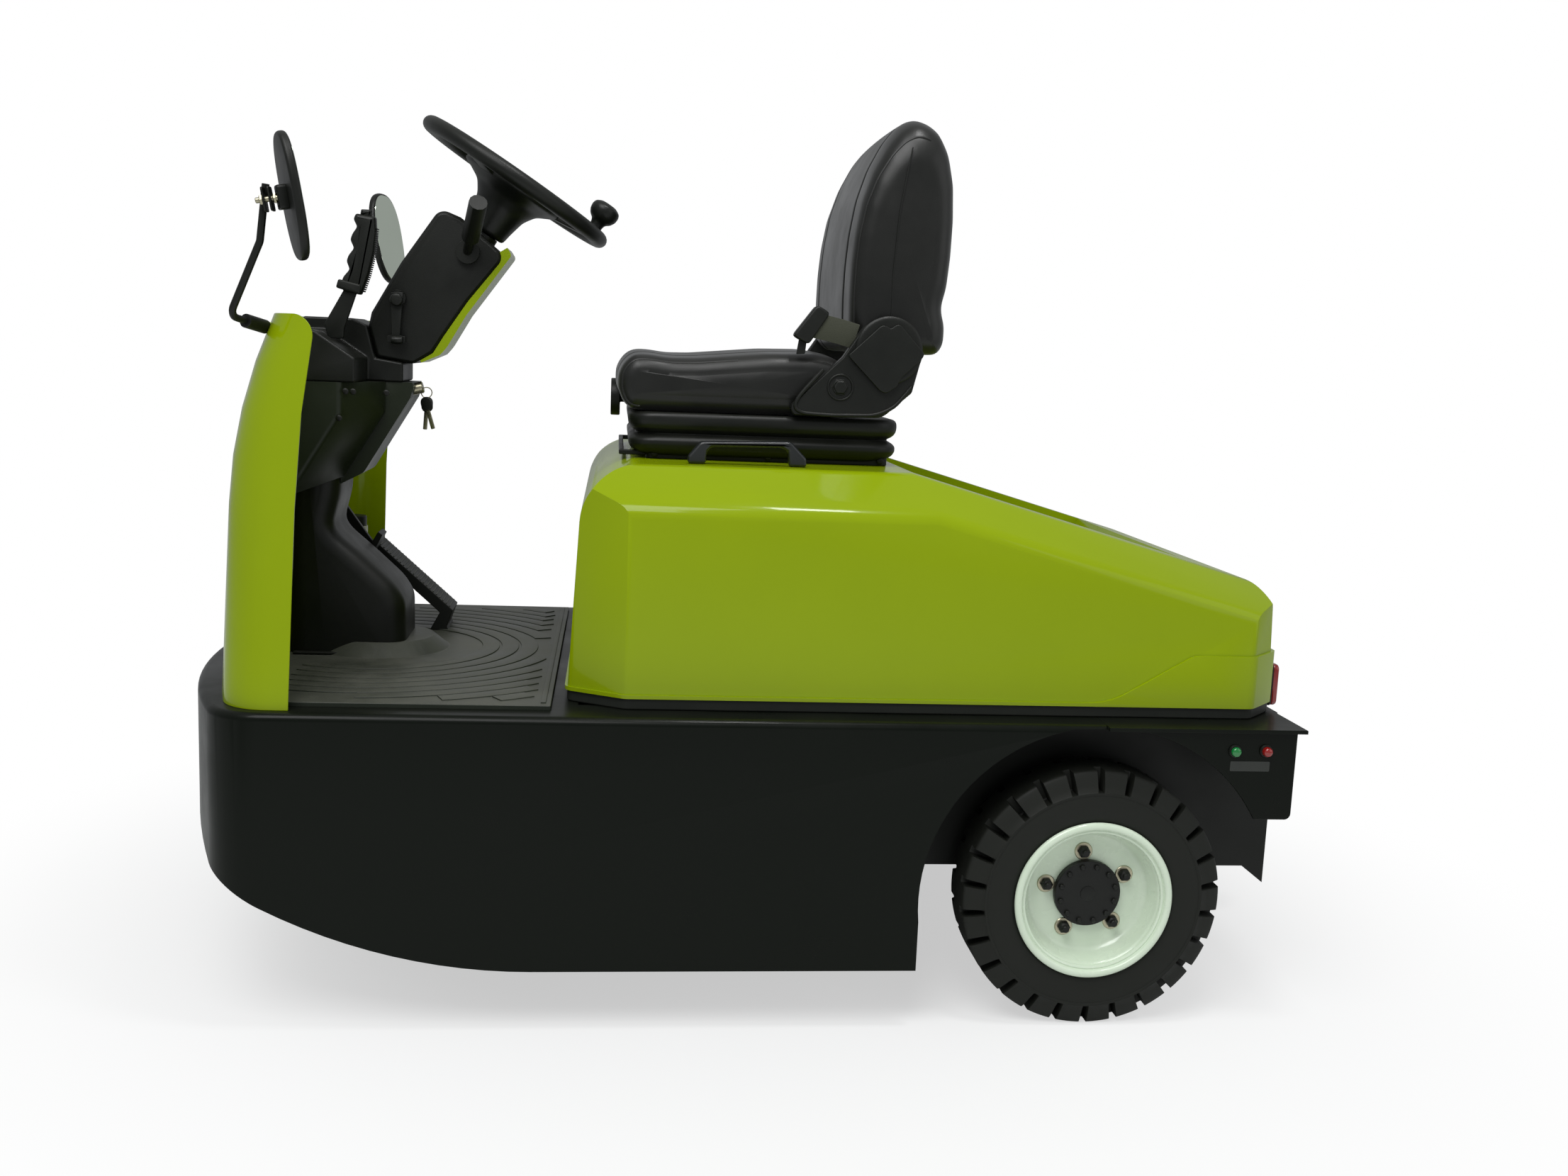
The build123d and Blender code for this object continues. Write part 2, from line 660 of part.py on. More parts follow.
# Dash: a lower console with a boss for the lock, between sloping wings
console_top = 470.0
console_half_width = 185.0
boss_points = ((-60, console_top), (-62, 462), (-56, 443), (20, 316), (59, console_foot), (150, console_foot),
               (130, console_top))
boss_side = outline(front_side(0), boss_points, ((1, 6), (2, 14), (3, 20)))
wing_points = ((-16, 75), (37, console_half_width), (140, console_half_width), (140, -console_half_width),
               (37, -console_half_width), (-16, -75))
wing_height = 50.0
wing_plan = outline(deck_plane(console_top - wing_height), wing_points, ((1, 12), (4, 12)))
wing_floor = outline(front_side(0), ((-100, 326), (20, 321), (59, 307), (119, console_foot - 10), (250, 270),
                                     (250, 200), (-100, 200)))
console_nose = outline(front_side(0), ((-100, 200), (-100, 490), (143, 490), (165, 290), (165, 200)))
with BuildPart() as dash_lower:
    extrude(wing_plan, amount=wing_height)
    extrude(wing_plan, amount=170, dir=(0.52, 0, -0.854))
    extrude(wing_floor, amount=console_half_width + 10, both=True, mode=Mode.SUBTRACT)
    extrude(boss_side, amount=boss_half_width, both=True)
    extrude(console_nose, amount=console_half_width + 10, both=True, mode=Mode.INTERSECT)
save(dash_lower, "dash_lower")

# Upper cowl: sloped top with a hump for the column and a slot for the handbrake
cowl_foot = console_top + running_gap
cowl_top = 552.0
cowl_points = ((14, cowl_foot), (14, 509), (79, cowl_top), (130, cowl_top), (138, cowl_foot))
cowl_side = outline(front_side(0), cowl_points, ((1, 5), (2, 20)))
hump_points = ((-45, cowl_foot), (-45, 502.7), (0.5, 509.3), (3.6, 520), (14.5, 563), (38, 573), (118, 573),
               (138, cowl_foot))
hump_side = outline(front_side(0), hump_points, ((4, 6), (5, 12)))
lever_slot = outline(front_side(handbrake_width), ((26, 538), (26, 620), (90, 620), (90, 538)))
with BuildPart() as dash_cowl:
    extrude(cowl_side, amount=console_half_width, both=True)
    extrude(hump_side, amount=hump_half_width, both=True)
    extrude(lever_slot, amount=16, both=True, mode=Mode.SUBTRACT)
save(dash_cowl, "dash_cowl")

# Ignition lock in the console's boss, with its key hanging down
with BuildPart() as ignition_key:
    with BuildSketch(front_cross(-62 - running_gap)):
        with Locations((22, 456)):
            Circle(10)
    extrude(amount=-9)
    with BuildSketch(front_cross(-71 - running_gap)):
        with Locations((22, 430)):
            Rectangle(3, 68)
    extrude(amount=-12)
save(ignition_key, "ignition_key")

# Column cover with a fascia strip along its rear edge
column_points = ((-103, 759), (-137, 746), (-211, 686), (-150, 609), (-110, 549), (-93, 521), (-61, 501),
                 (0, 510), (13, 560), (8, 584), (-40, 668))
column_corners = ((0, 20), (2, 18), (4, 60), (6, 16), (7, 10), (8, 12), (10, 60))
column_side = outline(front_side(0), column_points, column_corners)
column_clearance = outline(front_side(0), column_points, column_corners, -running_gap)
fascia_points = ((-214, 700), (-222, 688), (-148, 586), (-116, 531), (-105, 518), (-74, 504), (-40, 560),
                 (-120, 640))
fascia_side = outline(front_side(0), fascia_points, ((1, 8), (3, 60), (4, 8)))
tilt_sine = math.sin(math.radians(wheel_tilt))
tilt_cosine = math.cos(math.radians(wheel_tilt))
wheel_plane = Plane(origin=(front_axle_x - wheel_behind_axle, 0, deck_top + wheel_height),
                    x_dir=(tilt_cosine, 0, tilt_sine), z_dir=(-tilt_sine, 0, tilt_cosine))
# The column's neck below the wheel: foot below the rim's plane, and length
neck_foot = -130.0
neck_length = 30.0
with BuildPart() as column_cover:
    extrude(column_side, amount=column_half_width, both=True)
    cheeks = column_cover.faces().group_by(Axis.Y)
    chamfer(cheeks[0].edges() + cheeks[-1].edges(), 5)
    with BuildSketch(wheel_plane.offset(neck_foot)):
        RegularPolygon(26, 16)
    extrude(amount=neck_length)
save(column_cover, "column_cover")

with BuildPart() as column_fascia:
    extrude(fascia_side, amount=column_half_width - 4, both=True)
    extrude(column_clearance, amount=column_half_width, both=True, mode=Mode.SUBTRACT)
save(column_fascia, "column_fascia")

# Steering wheel on the tilted axis: rim, trumpet hub, three spokes and a spinner knob
hub_foot = neck_foot + neck_length + running_gap
# Half outline of the hub: radius, and up from the rim's plane
hub_outline = ((0, hub_foot), (35, hub_foot), (38, -80), (45, -50), (58, -30), (92, -14), (92, -9), (0, -4))
spoke_root = 80.0
spinner_place = 150.0
# The spinner's runs: foot above the rim's plane, length and radius
spinner_runs = ((4, 22, 8), (26, 8, 18), (34, 16, 24))
with BuildPart() as steering_wheel:
    wheel_axis = Axis(wheel_plane.origin, wheel_plane.z_dir)
    with BuildSketch(Plane(origin=wheel_plane.origin, x_dir=wheel_plane.x_dir, z_dir=(0, -1, 0))):
        with Locations((wheel_rim_radius, 0)):
            RegularPolygon(wheel_grip_radius, 10)
        with BuildLine():
            Polyline(*hub_outline, close=True)
        make_face()
    revolve(axis=wheel_axis)
    with BuildSketch(wheel_plane.offset(-12)):
        with PolarLocations((wheel_rim_radius + spoke_root) / 2, 3, start_angle=180):
            Rectangle(wheel_rim_radius - spoke_root, 34)
    extrude(amount=10)
    for foot, length, radius in spinner_runs:
        with BuildSketch(wheel_plane.offset(foot)):
            with Locations((-spinner_place, 0)):
                RegularPolygon(radius, 16)
        extrude(amount=length)
save(steering_wheel, "steering_wheel")

# Levers: the travel direction lever on the left, the tilt lever below it and its lock
grip_run = Vector(-26, 105, 72).normalized()
lever_root = Vector(-150, column_half_width + 8, 690)
tilt_points = ((-46, 618), (-26, 618), (-28, 548), (-20, 546), (-20, 536), (-50, 536), (-50, 546), (-41, 548))
tilt_lever = outline(front_side(column_half_width + 12), tilt_points)
with BuildPart() as column_levers:
    with BuildSketch(front_side(column_half_width)):
        with Locations((-150, 690)):
            RegularPolygon(20, 16)
        with Locations((-36, 609)):
            RegularPolygon(14, 12)
    extrude(amount=-12)
    extrude(tilt_lever, amount=4, both=True)
    for start, length, radius in ((0, 40, 8), (38, 92, 15)):
        spot = lever_root + grip_run * start
        with BuildSketch(Plane(origin=(front_axle_x + spot.X, spot.Y, deck_top + spot.Z), z_dir=grip_run)):
            RegularPolygon(radius, 12)
        extrude(amount=length)
save(column_levers, "column_levers")

# Handbrake: a cranked arm out of the cowl's slot, with a moulded grip and its button
grip_points = ((-9, 735), (23, 738), (28, 703), (34, 678), (41, 656), (46, 627), (44, 616), (14, 610),
               (-6, 676))
grip_side = outline(front_side(handbrake_width), grip_points, ((2, 20), (3, 12), (4, 20)))
slot_floor = 538.0
arm_foot_height = slot_floor + running_gap
arm_points = ((20, 625), (38, 625), (72, 560), (66, arm_foot_height), (42, arm_foot_height), (42, 552))
arm_side = outline(front_side(handbrake_width), arm_points)
button_side = outline(front_side(handbrake_width), ((-2, 733), (16, 735), (14, 748), (-3, 747)))
with BuildPart() as handbrake:
    extrude(grip_side, amount=14, both=True)
    chamfer(handbrake.edges().filter_by(lambda edge: abs((edge % 0.5).Y) < 0.1), 5)
    extrude(arm_side, amount=6, both=True)
    extrude(button_side, amount=8, both=True)
save(handbrake, "handbrake")

# Pedals: an organ pedal for the right foot, and a brake pedal hung from the console
pad_points = ((-100, mat_top), (-97, 15), (-108, 45), (32, 170), (45, 156), (-84, 40), (-66, mat_top))
pad_side = outline(front_side(accelerator_width), pad_points)
with BuildPart() as accelerator_pedal:
    extrude(pad_side, amount=45, both=True)
save(accelerator_pedal, "accelerator_pedal")

brake_arm = outline(front_side(brake_width), ((112, 287.5), (119, 285), (128, 283.9), (42, 160), (26, 166)))
brake_pad = outline(front_side(brake_width), ((12, 190), (20, 196), (52, 138), (42, 132)))
with BuildPart() as brake_pedal:
    extrude(brake_arm, amount=6, both=True)
    extrude(brake_pad, amount=28, both=True)
save(brake_pedal, "brake_pedal")

# Brake fluid reservoir on a bracket from the pedestal: foot, length and radius of its runs
bracket_foot = 144
bracket_share = (bracket_foot - mat_top) / (pedestal_top - mat_top)
bracket_root = pedestal_half_width - pedestal_draft * bracket_share + running_gap
reservoir_runs = ((150, 44, 26), (194, 4, 21), (198, 14, 23))
with BuildPart() as fluid_reservoir:
    for foot, length, radius in reservoir_runs:
        with BuildSketch(deck_plane(foot)):
            with Locations((80, -200)):
                RegularPolygon(radius, 24)
        extrude(amount=length)
    with BuildSketch(deck_plane(bracket_foot)):
        with Locations((80, -(bracket_root + 226) / 2)):
            Rectangle(40, 226 - bracket_root)
    extrude(amount=6)
save(fluid_reservoir, "fluid_reservoir")

# Hood: a moulded lid. Each outline below bounds it from one direction, and all are cut together.
slope_start = hood_front - 528
slope_angle = math.radians(hood_slope)
slope_foot = 15 - hood_tail
recess_rear = 127 - hood_tail
crease_round = 30.0
hood_lean = 18.0


def slope_at(ahead):
    """Height of the rear slope's surface at a distance ahead of the rear axle."""
    return hood_top - (slope_start - ahead) * math.tan(slope_angle)


def hood_plan(height, proud):
    """Plan of the hood with its bevelled corners, standing proud by a lip or set in."""
    half = hood_half_width
    corner = half - hood_front_cut
    bevel = hood_front - hood_front_bevel
    tail_corner = half - hood_tail_cut
    tail_bevel = hood_tail_bevel - hood_tail
    points = ((hood_front, corner), (bevel, half), (tail_bevel, half), (-hood_tail, tail_corner),
              (-hood_tail, -tail_corner), (tail_bevel, -half), (bevel, -half), (hood_front, -corner))
    rounded = [(number, hood_corner_radius) for number in range(len(points))]
    return outline(level_plane(height), points, rounded, -proud)


def hood_form(inset, low):
    """Outer or inner form of the hood, with the dished recess behind the seat."""
    half = hood_half_width
    crown = half - hood_bevel_width
    side_points = ((hood_front, low), (hood_front - hood_lean, hood_top), (slope_start, hood_top),
                   (slope_foot, slope_at(slope_foot)), (-hood_tail, low))
    side_view = outline(rear_side(0), side_points, ((1, hood_nose_radius), (3, hood_tail_radius)), inset)
    shoulder = hood_top - hood_bevel_drop
    level_points = ((-half, low), (half, low), (half, shoulder), (crown, hood_top), (-crown, hood_top),
                    (-half, shoulder))
    level_view = outline(cross_plane(-hood_tail - 100), level_points,
                         [(number, crease_round) for number in (2, 3, 4, 5)], inset)
    # The slope is drawn on a plane square to it, ahead of the hood's front
    cosine = math.cos(slope_angle)
    sine = math.sin(slope_angle)
    reach = (hood_front - slope_start + hood_height) / cosine
    along_slope = Plane(origin=(rear_axle_x + slope_start + reach * cosine, 0, hood_top + reach * sine),
                        x_dir=(0, 1, 0), z_dir=(-cosine, 0, -sine))
    crease_depth = hood_slope_bevel * cosine
    deep = hood_height + reach
    slope_points = ((-crown, 0), (crown, 0), (half, crease_depth), (half, deep), (-half, deep),
                    (-half, crease_depth))
    slope_view = outline(along_slope, slope_points,
                         [(number, crease_round) for number in (0, 1, 2, 5)], inset)
    recess_points = ((slope_start, hood_top), (recess_rear + 28, slope_at(recess_rear) - 38),
                     (recess_rear, slope_at(recess_rear) + 20), (recess_rear, hood_top + 60),
                     (slope_start, hood_top + 60))
    recess = outline(rear_side(0), recess_points, ((1, 20),), -inset)
    length = hood_front + hood_tail + 2 * reach
    with BuildPart() as form:
        extrude(hood_plan(low, -inset), amount=hood_top - low)
        extrude(side_view, amount=half, both=True, mode=Mode.INTERSECT)
        extrude(level_view, amount=length, mode=Mode.INTERSECT)
        extrude(slope_view, amount=length, mode=Mode.INTERSECT)
        extrude(recess, amount=recess_half_width + inset, both=True, mode=Mode.SUBTRACT)
    return form.part


band_plan = hood_plan(hood_base, hood_lip)
step_top = hood_base + hood_step_height
# The raised band along the foot: a low lip that climbs to a step before the tail
band_height = 6.0
band_top = hood_base + band_height
band_points = ((hood_front + 20, band_top), (-17, band_top), (-150, step_top), (-hood_tail - 20, step_top),
               (-hood_tail - 20, hood_base - 5), (hood_front + 20, hood_base - 5))
band_side = outline(rear_side(0), band_points, ((1, 120), (2, 40)))
hood_outside = hood_form(0, hood_base)
hood_inside = hood_form(hood_wall, hood_base - 20)
with BuildPart() as hood:
    extrude(band_plan, amount=hood_step_height)
    extrude(band_side, amount=hood_half_width + 20, both=True, mode=Mode.INTERSECT)
    add(hood_outside)
    add(hood_inside, mode=Mode.SUBTRACT)
    for middle in hinge_widths:
        hinge_side = Plane(origin=(rear_axle_x, middle, 0), x_dir=(1, 0, 0), z_dir=(0, -1, 0))
        with BuildSketch(hinge_side):
            with Locations((-hinge_behind, hinge_height)):
                RegularPolygon(hinge_radius, 24)
            with BuildLine():
                Polyline((-hinge_behind, hinge_height + hinge_radius), (-hood_tail - 2, hinge_height + 30),
                         (-hood_tail - 2, hood_base + 1), (-hinge_behind, hinge_height), close=True)
            make_face()
        extrude(amount=hinge_knuckle / 2, both=True)
save(hood, "hood")

# Rubber seal under the hood's rim
seal_outside = hood_plan(deck_top, 0)
seal_inside = hood_plan(deck_top, -seal_width)
with BuildPart() as hood_seal:
    extrude(seal_outside, amount=seal_height - running_gap)
    extrude(seal_inside, amount=seal_height - running_gap, mode=Mode.SUBTRACT)
save(hood_seal, "hood_seal")

# Tail lamps on the hood's tail: black base and lens
lamp_face = hood_tail + hood_lip
with BuildPart() as tail_lamps:
    for side in (1, -1):
        with BuildSketch(cross_plane(-lamp_face)):
            with Locations((side * lamp_width_place, lamp_foot + lamp_height / 2)):
                RectangleRounded(72, lamp_height, 6)
        extrude(amount=-5)
        with BuildSketch(cross_plane(-lamp_face - 5)):
            with Locations((side * lamp_width_place, lamp_foot + lamp_height / 2)):
                RectangleRounded(64, lamp_height - 8, 5)
        extrude(amount=-10, taper=12)
save(tail_lamps, "tail_lamps")

# Grab handles beside the seat base
handle_points = ((-53, 0), (-53, 14), (-27, 40), (115, 36), (135, 12), (135, 0), (107, 0), (105, 20),
                 (98, 28), (-14, 30), (-23, 24), (-25, 0))
handle_sides = [outline(seat_side(side * handle_width), handle_points, ((2, 12), (3, 12), (4, 8)))
                for side in (1, -1)]
with BuildPart() as hood_handles:
    for handle_side in handle_sides:
        extrude(handle_side, amount=handle_thickness / 2, both=True)
save(hood_handles, "hood_handles")

# Seat: base frame, bellows, cushion, back, recliner covers, belt stalk and controls
bellows_foot = hood_top + seat_base_height
cushion_seat = seat_base_height + 2 * bellows_height + running_gap
with BuildPart() as seat_base:
    with BuildSketch(level_plane(hood_top)):
        with Locations((seat_base_middle, 0)):
            RectangleRounded(seat_base_length, 440, 12)
    extrude(amount=seat_base_height)
save(seat_base, "seat_base")

with BuildPart() as seat_bellows:
    for step, grow in enumerate((0, 6)):
        foot = bellows_foot + step * bellows_height
        for turn in (0, 1):
            with BuildSketch(level_plane(foot + turn * bellows_height)):
                with Locations((seat_base_middle + 13, 0)):
                    RectangleRounded(408 + 2 * grow, 468 + 2 * grow, 24)
            extrude(amount=(1 - 2 * turn) * bellows_height / 2, taper=-24)
save(seat_bellows, "seat_bellows")

cushion_points = ((-130, cushion_seat), (220, cushion_seat), (242, 114), (230, 147), (111, 164), (-71, 179),
                  (-120, 177))
cushion_side = outline(seat_side(0), cushion_points, ((1, 14), (2, 20), (3, 30), (6, 20)))
with BuildPart() as seat_cushion:
    extrude(cushion_side, amount=seat_half_width, both=True)
save(seat_cushion, "seat_cushion")

back_points = ((-273, 185), (-278, 331), (-281, 414), (-276, 470), (-257, 538), (-215, 551), (-166, 501),
               (-141, 442), (-127, 366), (-125, 232), (-140, 182))
back_side = outline(seat_side(0), back_points, ((4, 20), (5, 20), (8, 30)))
back_foot = hood_top + 180
back_shoulder = hood_top + 400
back_crest = hood_top + 560
crest_half_width = seat_half_width - 60
back_front_points = ((-seat_half_width, back_foot), (seat_half_width, back_foot),
                     (seat_half_width, back_shoulder), (crest_half_width, back_crest),
                     (-crest_half_width, back_crest), (-seat_half_width, back_shoulder))
back_front_view = outline(cross_plane(seat_base_middle - 315), back_front_points,
                          ((2, 60), (3, 60), (4, 60), (5, 60)))
with BuildPart() as seat_back:
    extrude(back_side, amount=seat_half_width + 10, both=True)
    extrude(back_front_view, amount=300, mode=Mode.INTERSECT)
save(seat_back, "seat_back")

cover_thickness = 20.0
cover_middle = seat_half_width + running_gap + cover_thickness / 2
cover_points = ((-241, 190), (-225, 122), (-178, 80), (-35, 80), (-26, 92), (-110, 175), (-143, 226),
                (-186, 244), (-225, 228))
cover_corners = ((0, 30), (2, 30), (3, 6), (4, 12), (6, 30), (7, 20), (8, 20))
cover_sides = [outline(seat_side(side * cover_middle), cover_points, cover_corners) for side in (1, -1)]
with BuildPart() as recliner_covers:
    for side, cover_side in zip((1, -1), cover_sides):
        extrude(cover_side, amount=cover_thickness / 2, both=True)
        with BuildSketch(seat_side(side * (cover_middle + cover_thickness / 2))):
            with Locations((-108, 127)):
                RegularPolygon(12, 6)
        extrude(amount=-side * 6)
save(recliner_covers, "recliner_covers")

# Seat belt: the buckle on its stalk, and the webbing's stub beside the back
belt_side = seat_side(seat_half_width - 2)
buckle_side = outline(belt_side, ((-83, 244), (-67, 251), (-35, 206), (-56, 196)), ((0, 4), (1, 4)))
stalk_side = outline(belt_side, ((-53, 199), (-41, 204), (-37, 176.6), (-51, 177.7)))
with BuildPart() as seat_belt:
    extrude(buckle_side, amount=9, both=True)
    extrude(stalk_side, amount=3, both=True)
save(seat_belt, "seat_belt")

# Seat controls: the weight knob in front of the bellows and the slide latch's bow
base_front = seat_base_middle + seat_base_length / 2
with BuildPart() as seat_controls:
    with BuildSketch(cross_plane(seat_base_middle + 233.5)):
        with Locations((0, hood_top + 90)):
            RegularPolygon(9, 12)
    extrude(amount=12)
    with BuildSketch(cross_plane(seat_base_middle + 242)):
        with Locations((0, hood_top + 90)):
            RegularPolygon(32, 24)
    extrude(amount=16)
    with BuildSketch(level_plane(hood_top + 4)):
        with Locations((base_front + running_gap + 22, 0)):
            Rectangle(44, 408)
            with Locations((-8, 0)):
                Rectangle(44, 392, mode=Mode.SUBTRACT)
    extrude(amount=8)
save(seat_controls, "seat_controls")

# Mirrors on bent rod arms. The route: ahead of the front axle, left, and up from the deck
with BuildPart() as mirror_arms:
    for side in (1, -1):
        arm_end = Vector(*arm_foot) - boss_run.normalized() * running_gap
        route = ((93, 444, 750), (102, 442, 671), arm_bend, tuple(arm_end))
        with BuildLine() as arm_line:
            FilletPolyline([(front_axle_x + ahead, side * left, deck_top + up) for ahead, left, up in route],
                           radius=16)
        with BuildSketch(Plane(origin=arm_line.line @ 0, z_dir=arm_line.line % 0)):
            RegularPolygon(arm_radius, 8)
        sweep()
save(mirror_arms, "mirror_arms")

with BuildPart() as mirrors:
    for side in (1, -1):
        with BuildSketch(Plane(origin=(front_axle_x + 53, side * 454, deck_top + 734), x_dir=(0, 1, 0),
                               z_dir=(1, 0, -0.2))):
            RectangleRounded(110, 180, 46)
        extrude(amount=12)
        with BuildSketch(front_cross(60)):
            with Locations((side * 446, 734)):
                RectangleRounded(22, 26, 4)
        extrude(amount=48)
        with BuildSketch(Plane(origin=(front_axle_x + 93, side * 444, deck_top + 750),
                               z_dir=(9, -side * 2, -79))):
            RegularPolygon(arm_radius + running_gap, 8)
        extrude(amount=60, both=True, mode=Mode.SUBTRACT)
save(mirrors, "mirrors")
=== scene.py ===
# %% [markdown]
# An airport baggage tug, dressed for a studio picture.
#
# This script gives those pieces their finishes and adds what a workshop adds last: upholstery,
# tyre tread, wheel nuts, mirror glass, grips and screws. The frame is in metres. +X is forwards,
# +Y is the driver's left and +Z is up. Measured outlines are written in millimetres from the rear
# axle's middle.

# %% The frame
import math
import bpy
import numpy as np
from mathutils import Matrix, Vector
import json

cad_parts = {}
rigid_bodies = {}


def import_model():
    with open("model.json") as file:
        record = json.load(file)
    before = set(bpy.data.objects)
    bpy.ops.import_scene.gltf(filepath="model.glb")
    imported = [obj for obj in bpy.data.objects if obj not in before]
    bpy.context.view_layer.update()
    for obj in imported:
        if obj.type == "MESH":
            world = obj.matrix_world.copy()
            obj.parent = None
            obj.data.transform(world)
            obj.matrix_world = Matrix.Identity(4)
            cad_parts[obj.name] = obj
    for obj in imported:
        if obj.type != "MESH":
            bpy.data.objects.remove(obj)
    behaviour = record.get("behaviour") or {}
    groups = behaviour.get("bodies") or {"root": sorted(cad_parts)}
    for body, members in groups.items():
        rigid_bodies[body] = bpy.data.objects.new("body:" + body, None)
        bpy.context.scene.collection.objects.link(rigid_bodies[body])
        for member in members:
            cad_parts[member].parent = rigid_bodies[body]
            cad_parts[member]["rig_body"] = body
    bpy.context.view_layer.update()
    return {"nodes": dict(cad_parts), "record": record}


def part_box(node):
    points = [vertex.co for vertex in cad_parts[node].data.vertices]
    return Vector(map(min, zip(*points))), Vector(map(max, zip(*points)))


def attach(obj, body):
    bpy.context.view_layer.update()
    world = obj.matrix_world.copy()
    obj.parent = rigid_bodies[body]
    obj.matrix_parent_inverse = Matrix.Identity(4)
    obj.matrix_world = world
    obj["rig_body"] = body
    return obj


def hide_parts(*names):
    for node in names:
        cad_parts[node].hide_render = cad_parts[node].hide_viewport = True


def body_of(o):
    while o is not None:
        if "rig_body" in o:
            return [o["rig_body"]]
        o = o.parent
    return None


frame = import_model()
scene = bpy.context.scene
mm = 0.001
axle_low, axle_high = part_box("tyre_rear_left")
rear_axle_x = (axle_low[0] + axle_high[0]) / 2


def at(points):
    """Millimetres from the rear axle's middle on the floor, as metres in the frame."""
    return np.asarray(points, float) * mm + (rear_axle_x, 0.0, 0.0)


print("nodes:", len(frame["nodes"]), " rear axle at x =", round(rear_axle_x, 4))

# %% [markdown]
# The camera. A photograph fixes more than a direction: its distance sets how strongly the near
# side outgrows the far one. Where it stands, how it is turned and its focal length in pixels give
# the whole camera. The turning is a matrix whose rows are the picture's right, down and forward
# directions, so that each number can be read as a direction.

# %% Camera
picture_width = 2212
focal_in_pixels = 2166.87
sensor_width = 36.0
camera_place = at([(763.306, 2719.036, 1041.36)])[0]
camera_yaw = -0.113
camera_pitch = 0.154
camera_roll = 0.042


def turn(axis, angle):
    """Turn about axis 0, 1 or 2: cosines on the diagonal, sines beside it."""
    matrix = np.eye(3)
    first, second = [number for number in range(3) if number != axis]
    matrix[first, first] = matrix[second, second] = math.cos(angle)
    matrix[first, second], matrix[second, first] = -math.sin(angle), math.sin(angle)
    return matrix


def add_camera():
    """Camera whose axes are the picture's right, up and backward directions.

    The level camera looks along -Y with +X to its left. Yaw, pitch and roll turn that.
    """
    level = np.array([[-1, 0, 0], [0, 0, -1], [0, -1, 0]], float)
    turning = turn(2, camera_roll) @ turn(0, camera_pitch) @ turn(1, -camera_yaw)
    right, down, forward = turning @ level
    lens = bpy.data.cameras.new("camera")
    lens.sensor_width = sensor_width
    lens.lens = sensor_width * focal_in_pixels / picture_width
    camera = bpy.data.objects.new("camera", lens)
    scene.collection.objects.link(camera)
    placed = np.eye(4)
    placed[:3] = np.column_stack([right, -down, -forward, camera_place])
    camera.matrix_world = Matrix(placed.tolist())
    scene.camera = camera
    return camera


print("lens:", round(add_camera().data.lens, 1), "mm")

# %% [markdown]
# Finishes. Every finish is a small node tree on Object coordinates, so a pattern keeps its real
# size on every piece: a texture's scale is one over its width in metres. One function adds a node
# with its settings and links. A second one holds what all finishes of this machine share: a
# colour that drifts a little, a roughness that drifts with it, and a fine relief. It could be one
# tree per finish, but a shared recipe shows at a glance what sets rubber apart from enamel.

# %% Node helpers


def srgb(code):
    """Hex colour to linear red, green, blue and alpha, by the sRGB curve."""
    values = np.array([int(code[place:place + 2], 16) for place in (1, 3, 5)]) / 255
    linear = np.where(values <= 0.04045, values / 12.92, ((values + 0.055) / 1.055) ** 2.4)
    return (*linear.tolist(), 1.0)


def add_node(tree, kind, settings=None, links=None):
    """Shader node of a kind, its properties or inputs set and its inputs linked to outputs."""
    made = tree.nodes.new("ShaderNode" + kind)
    for name, value in (settings or {}).items():
        if isinstance(name, str) and hasattr(made, name):
            setattr(made, name, value)
        else:
            made.inputs[name].default_value = value
    for name, output in (links or {}).items():
        tree.links.new(output, made.inputs[name])
    return made


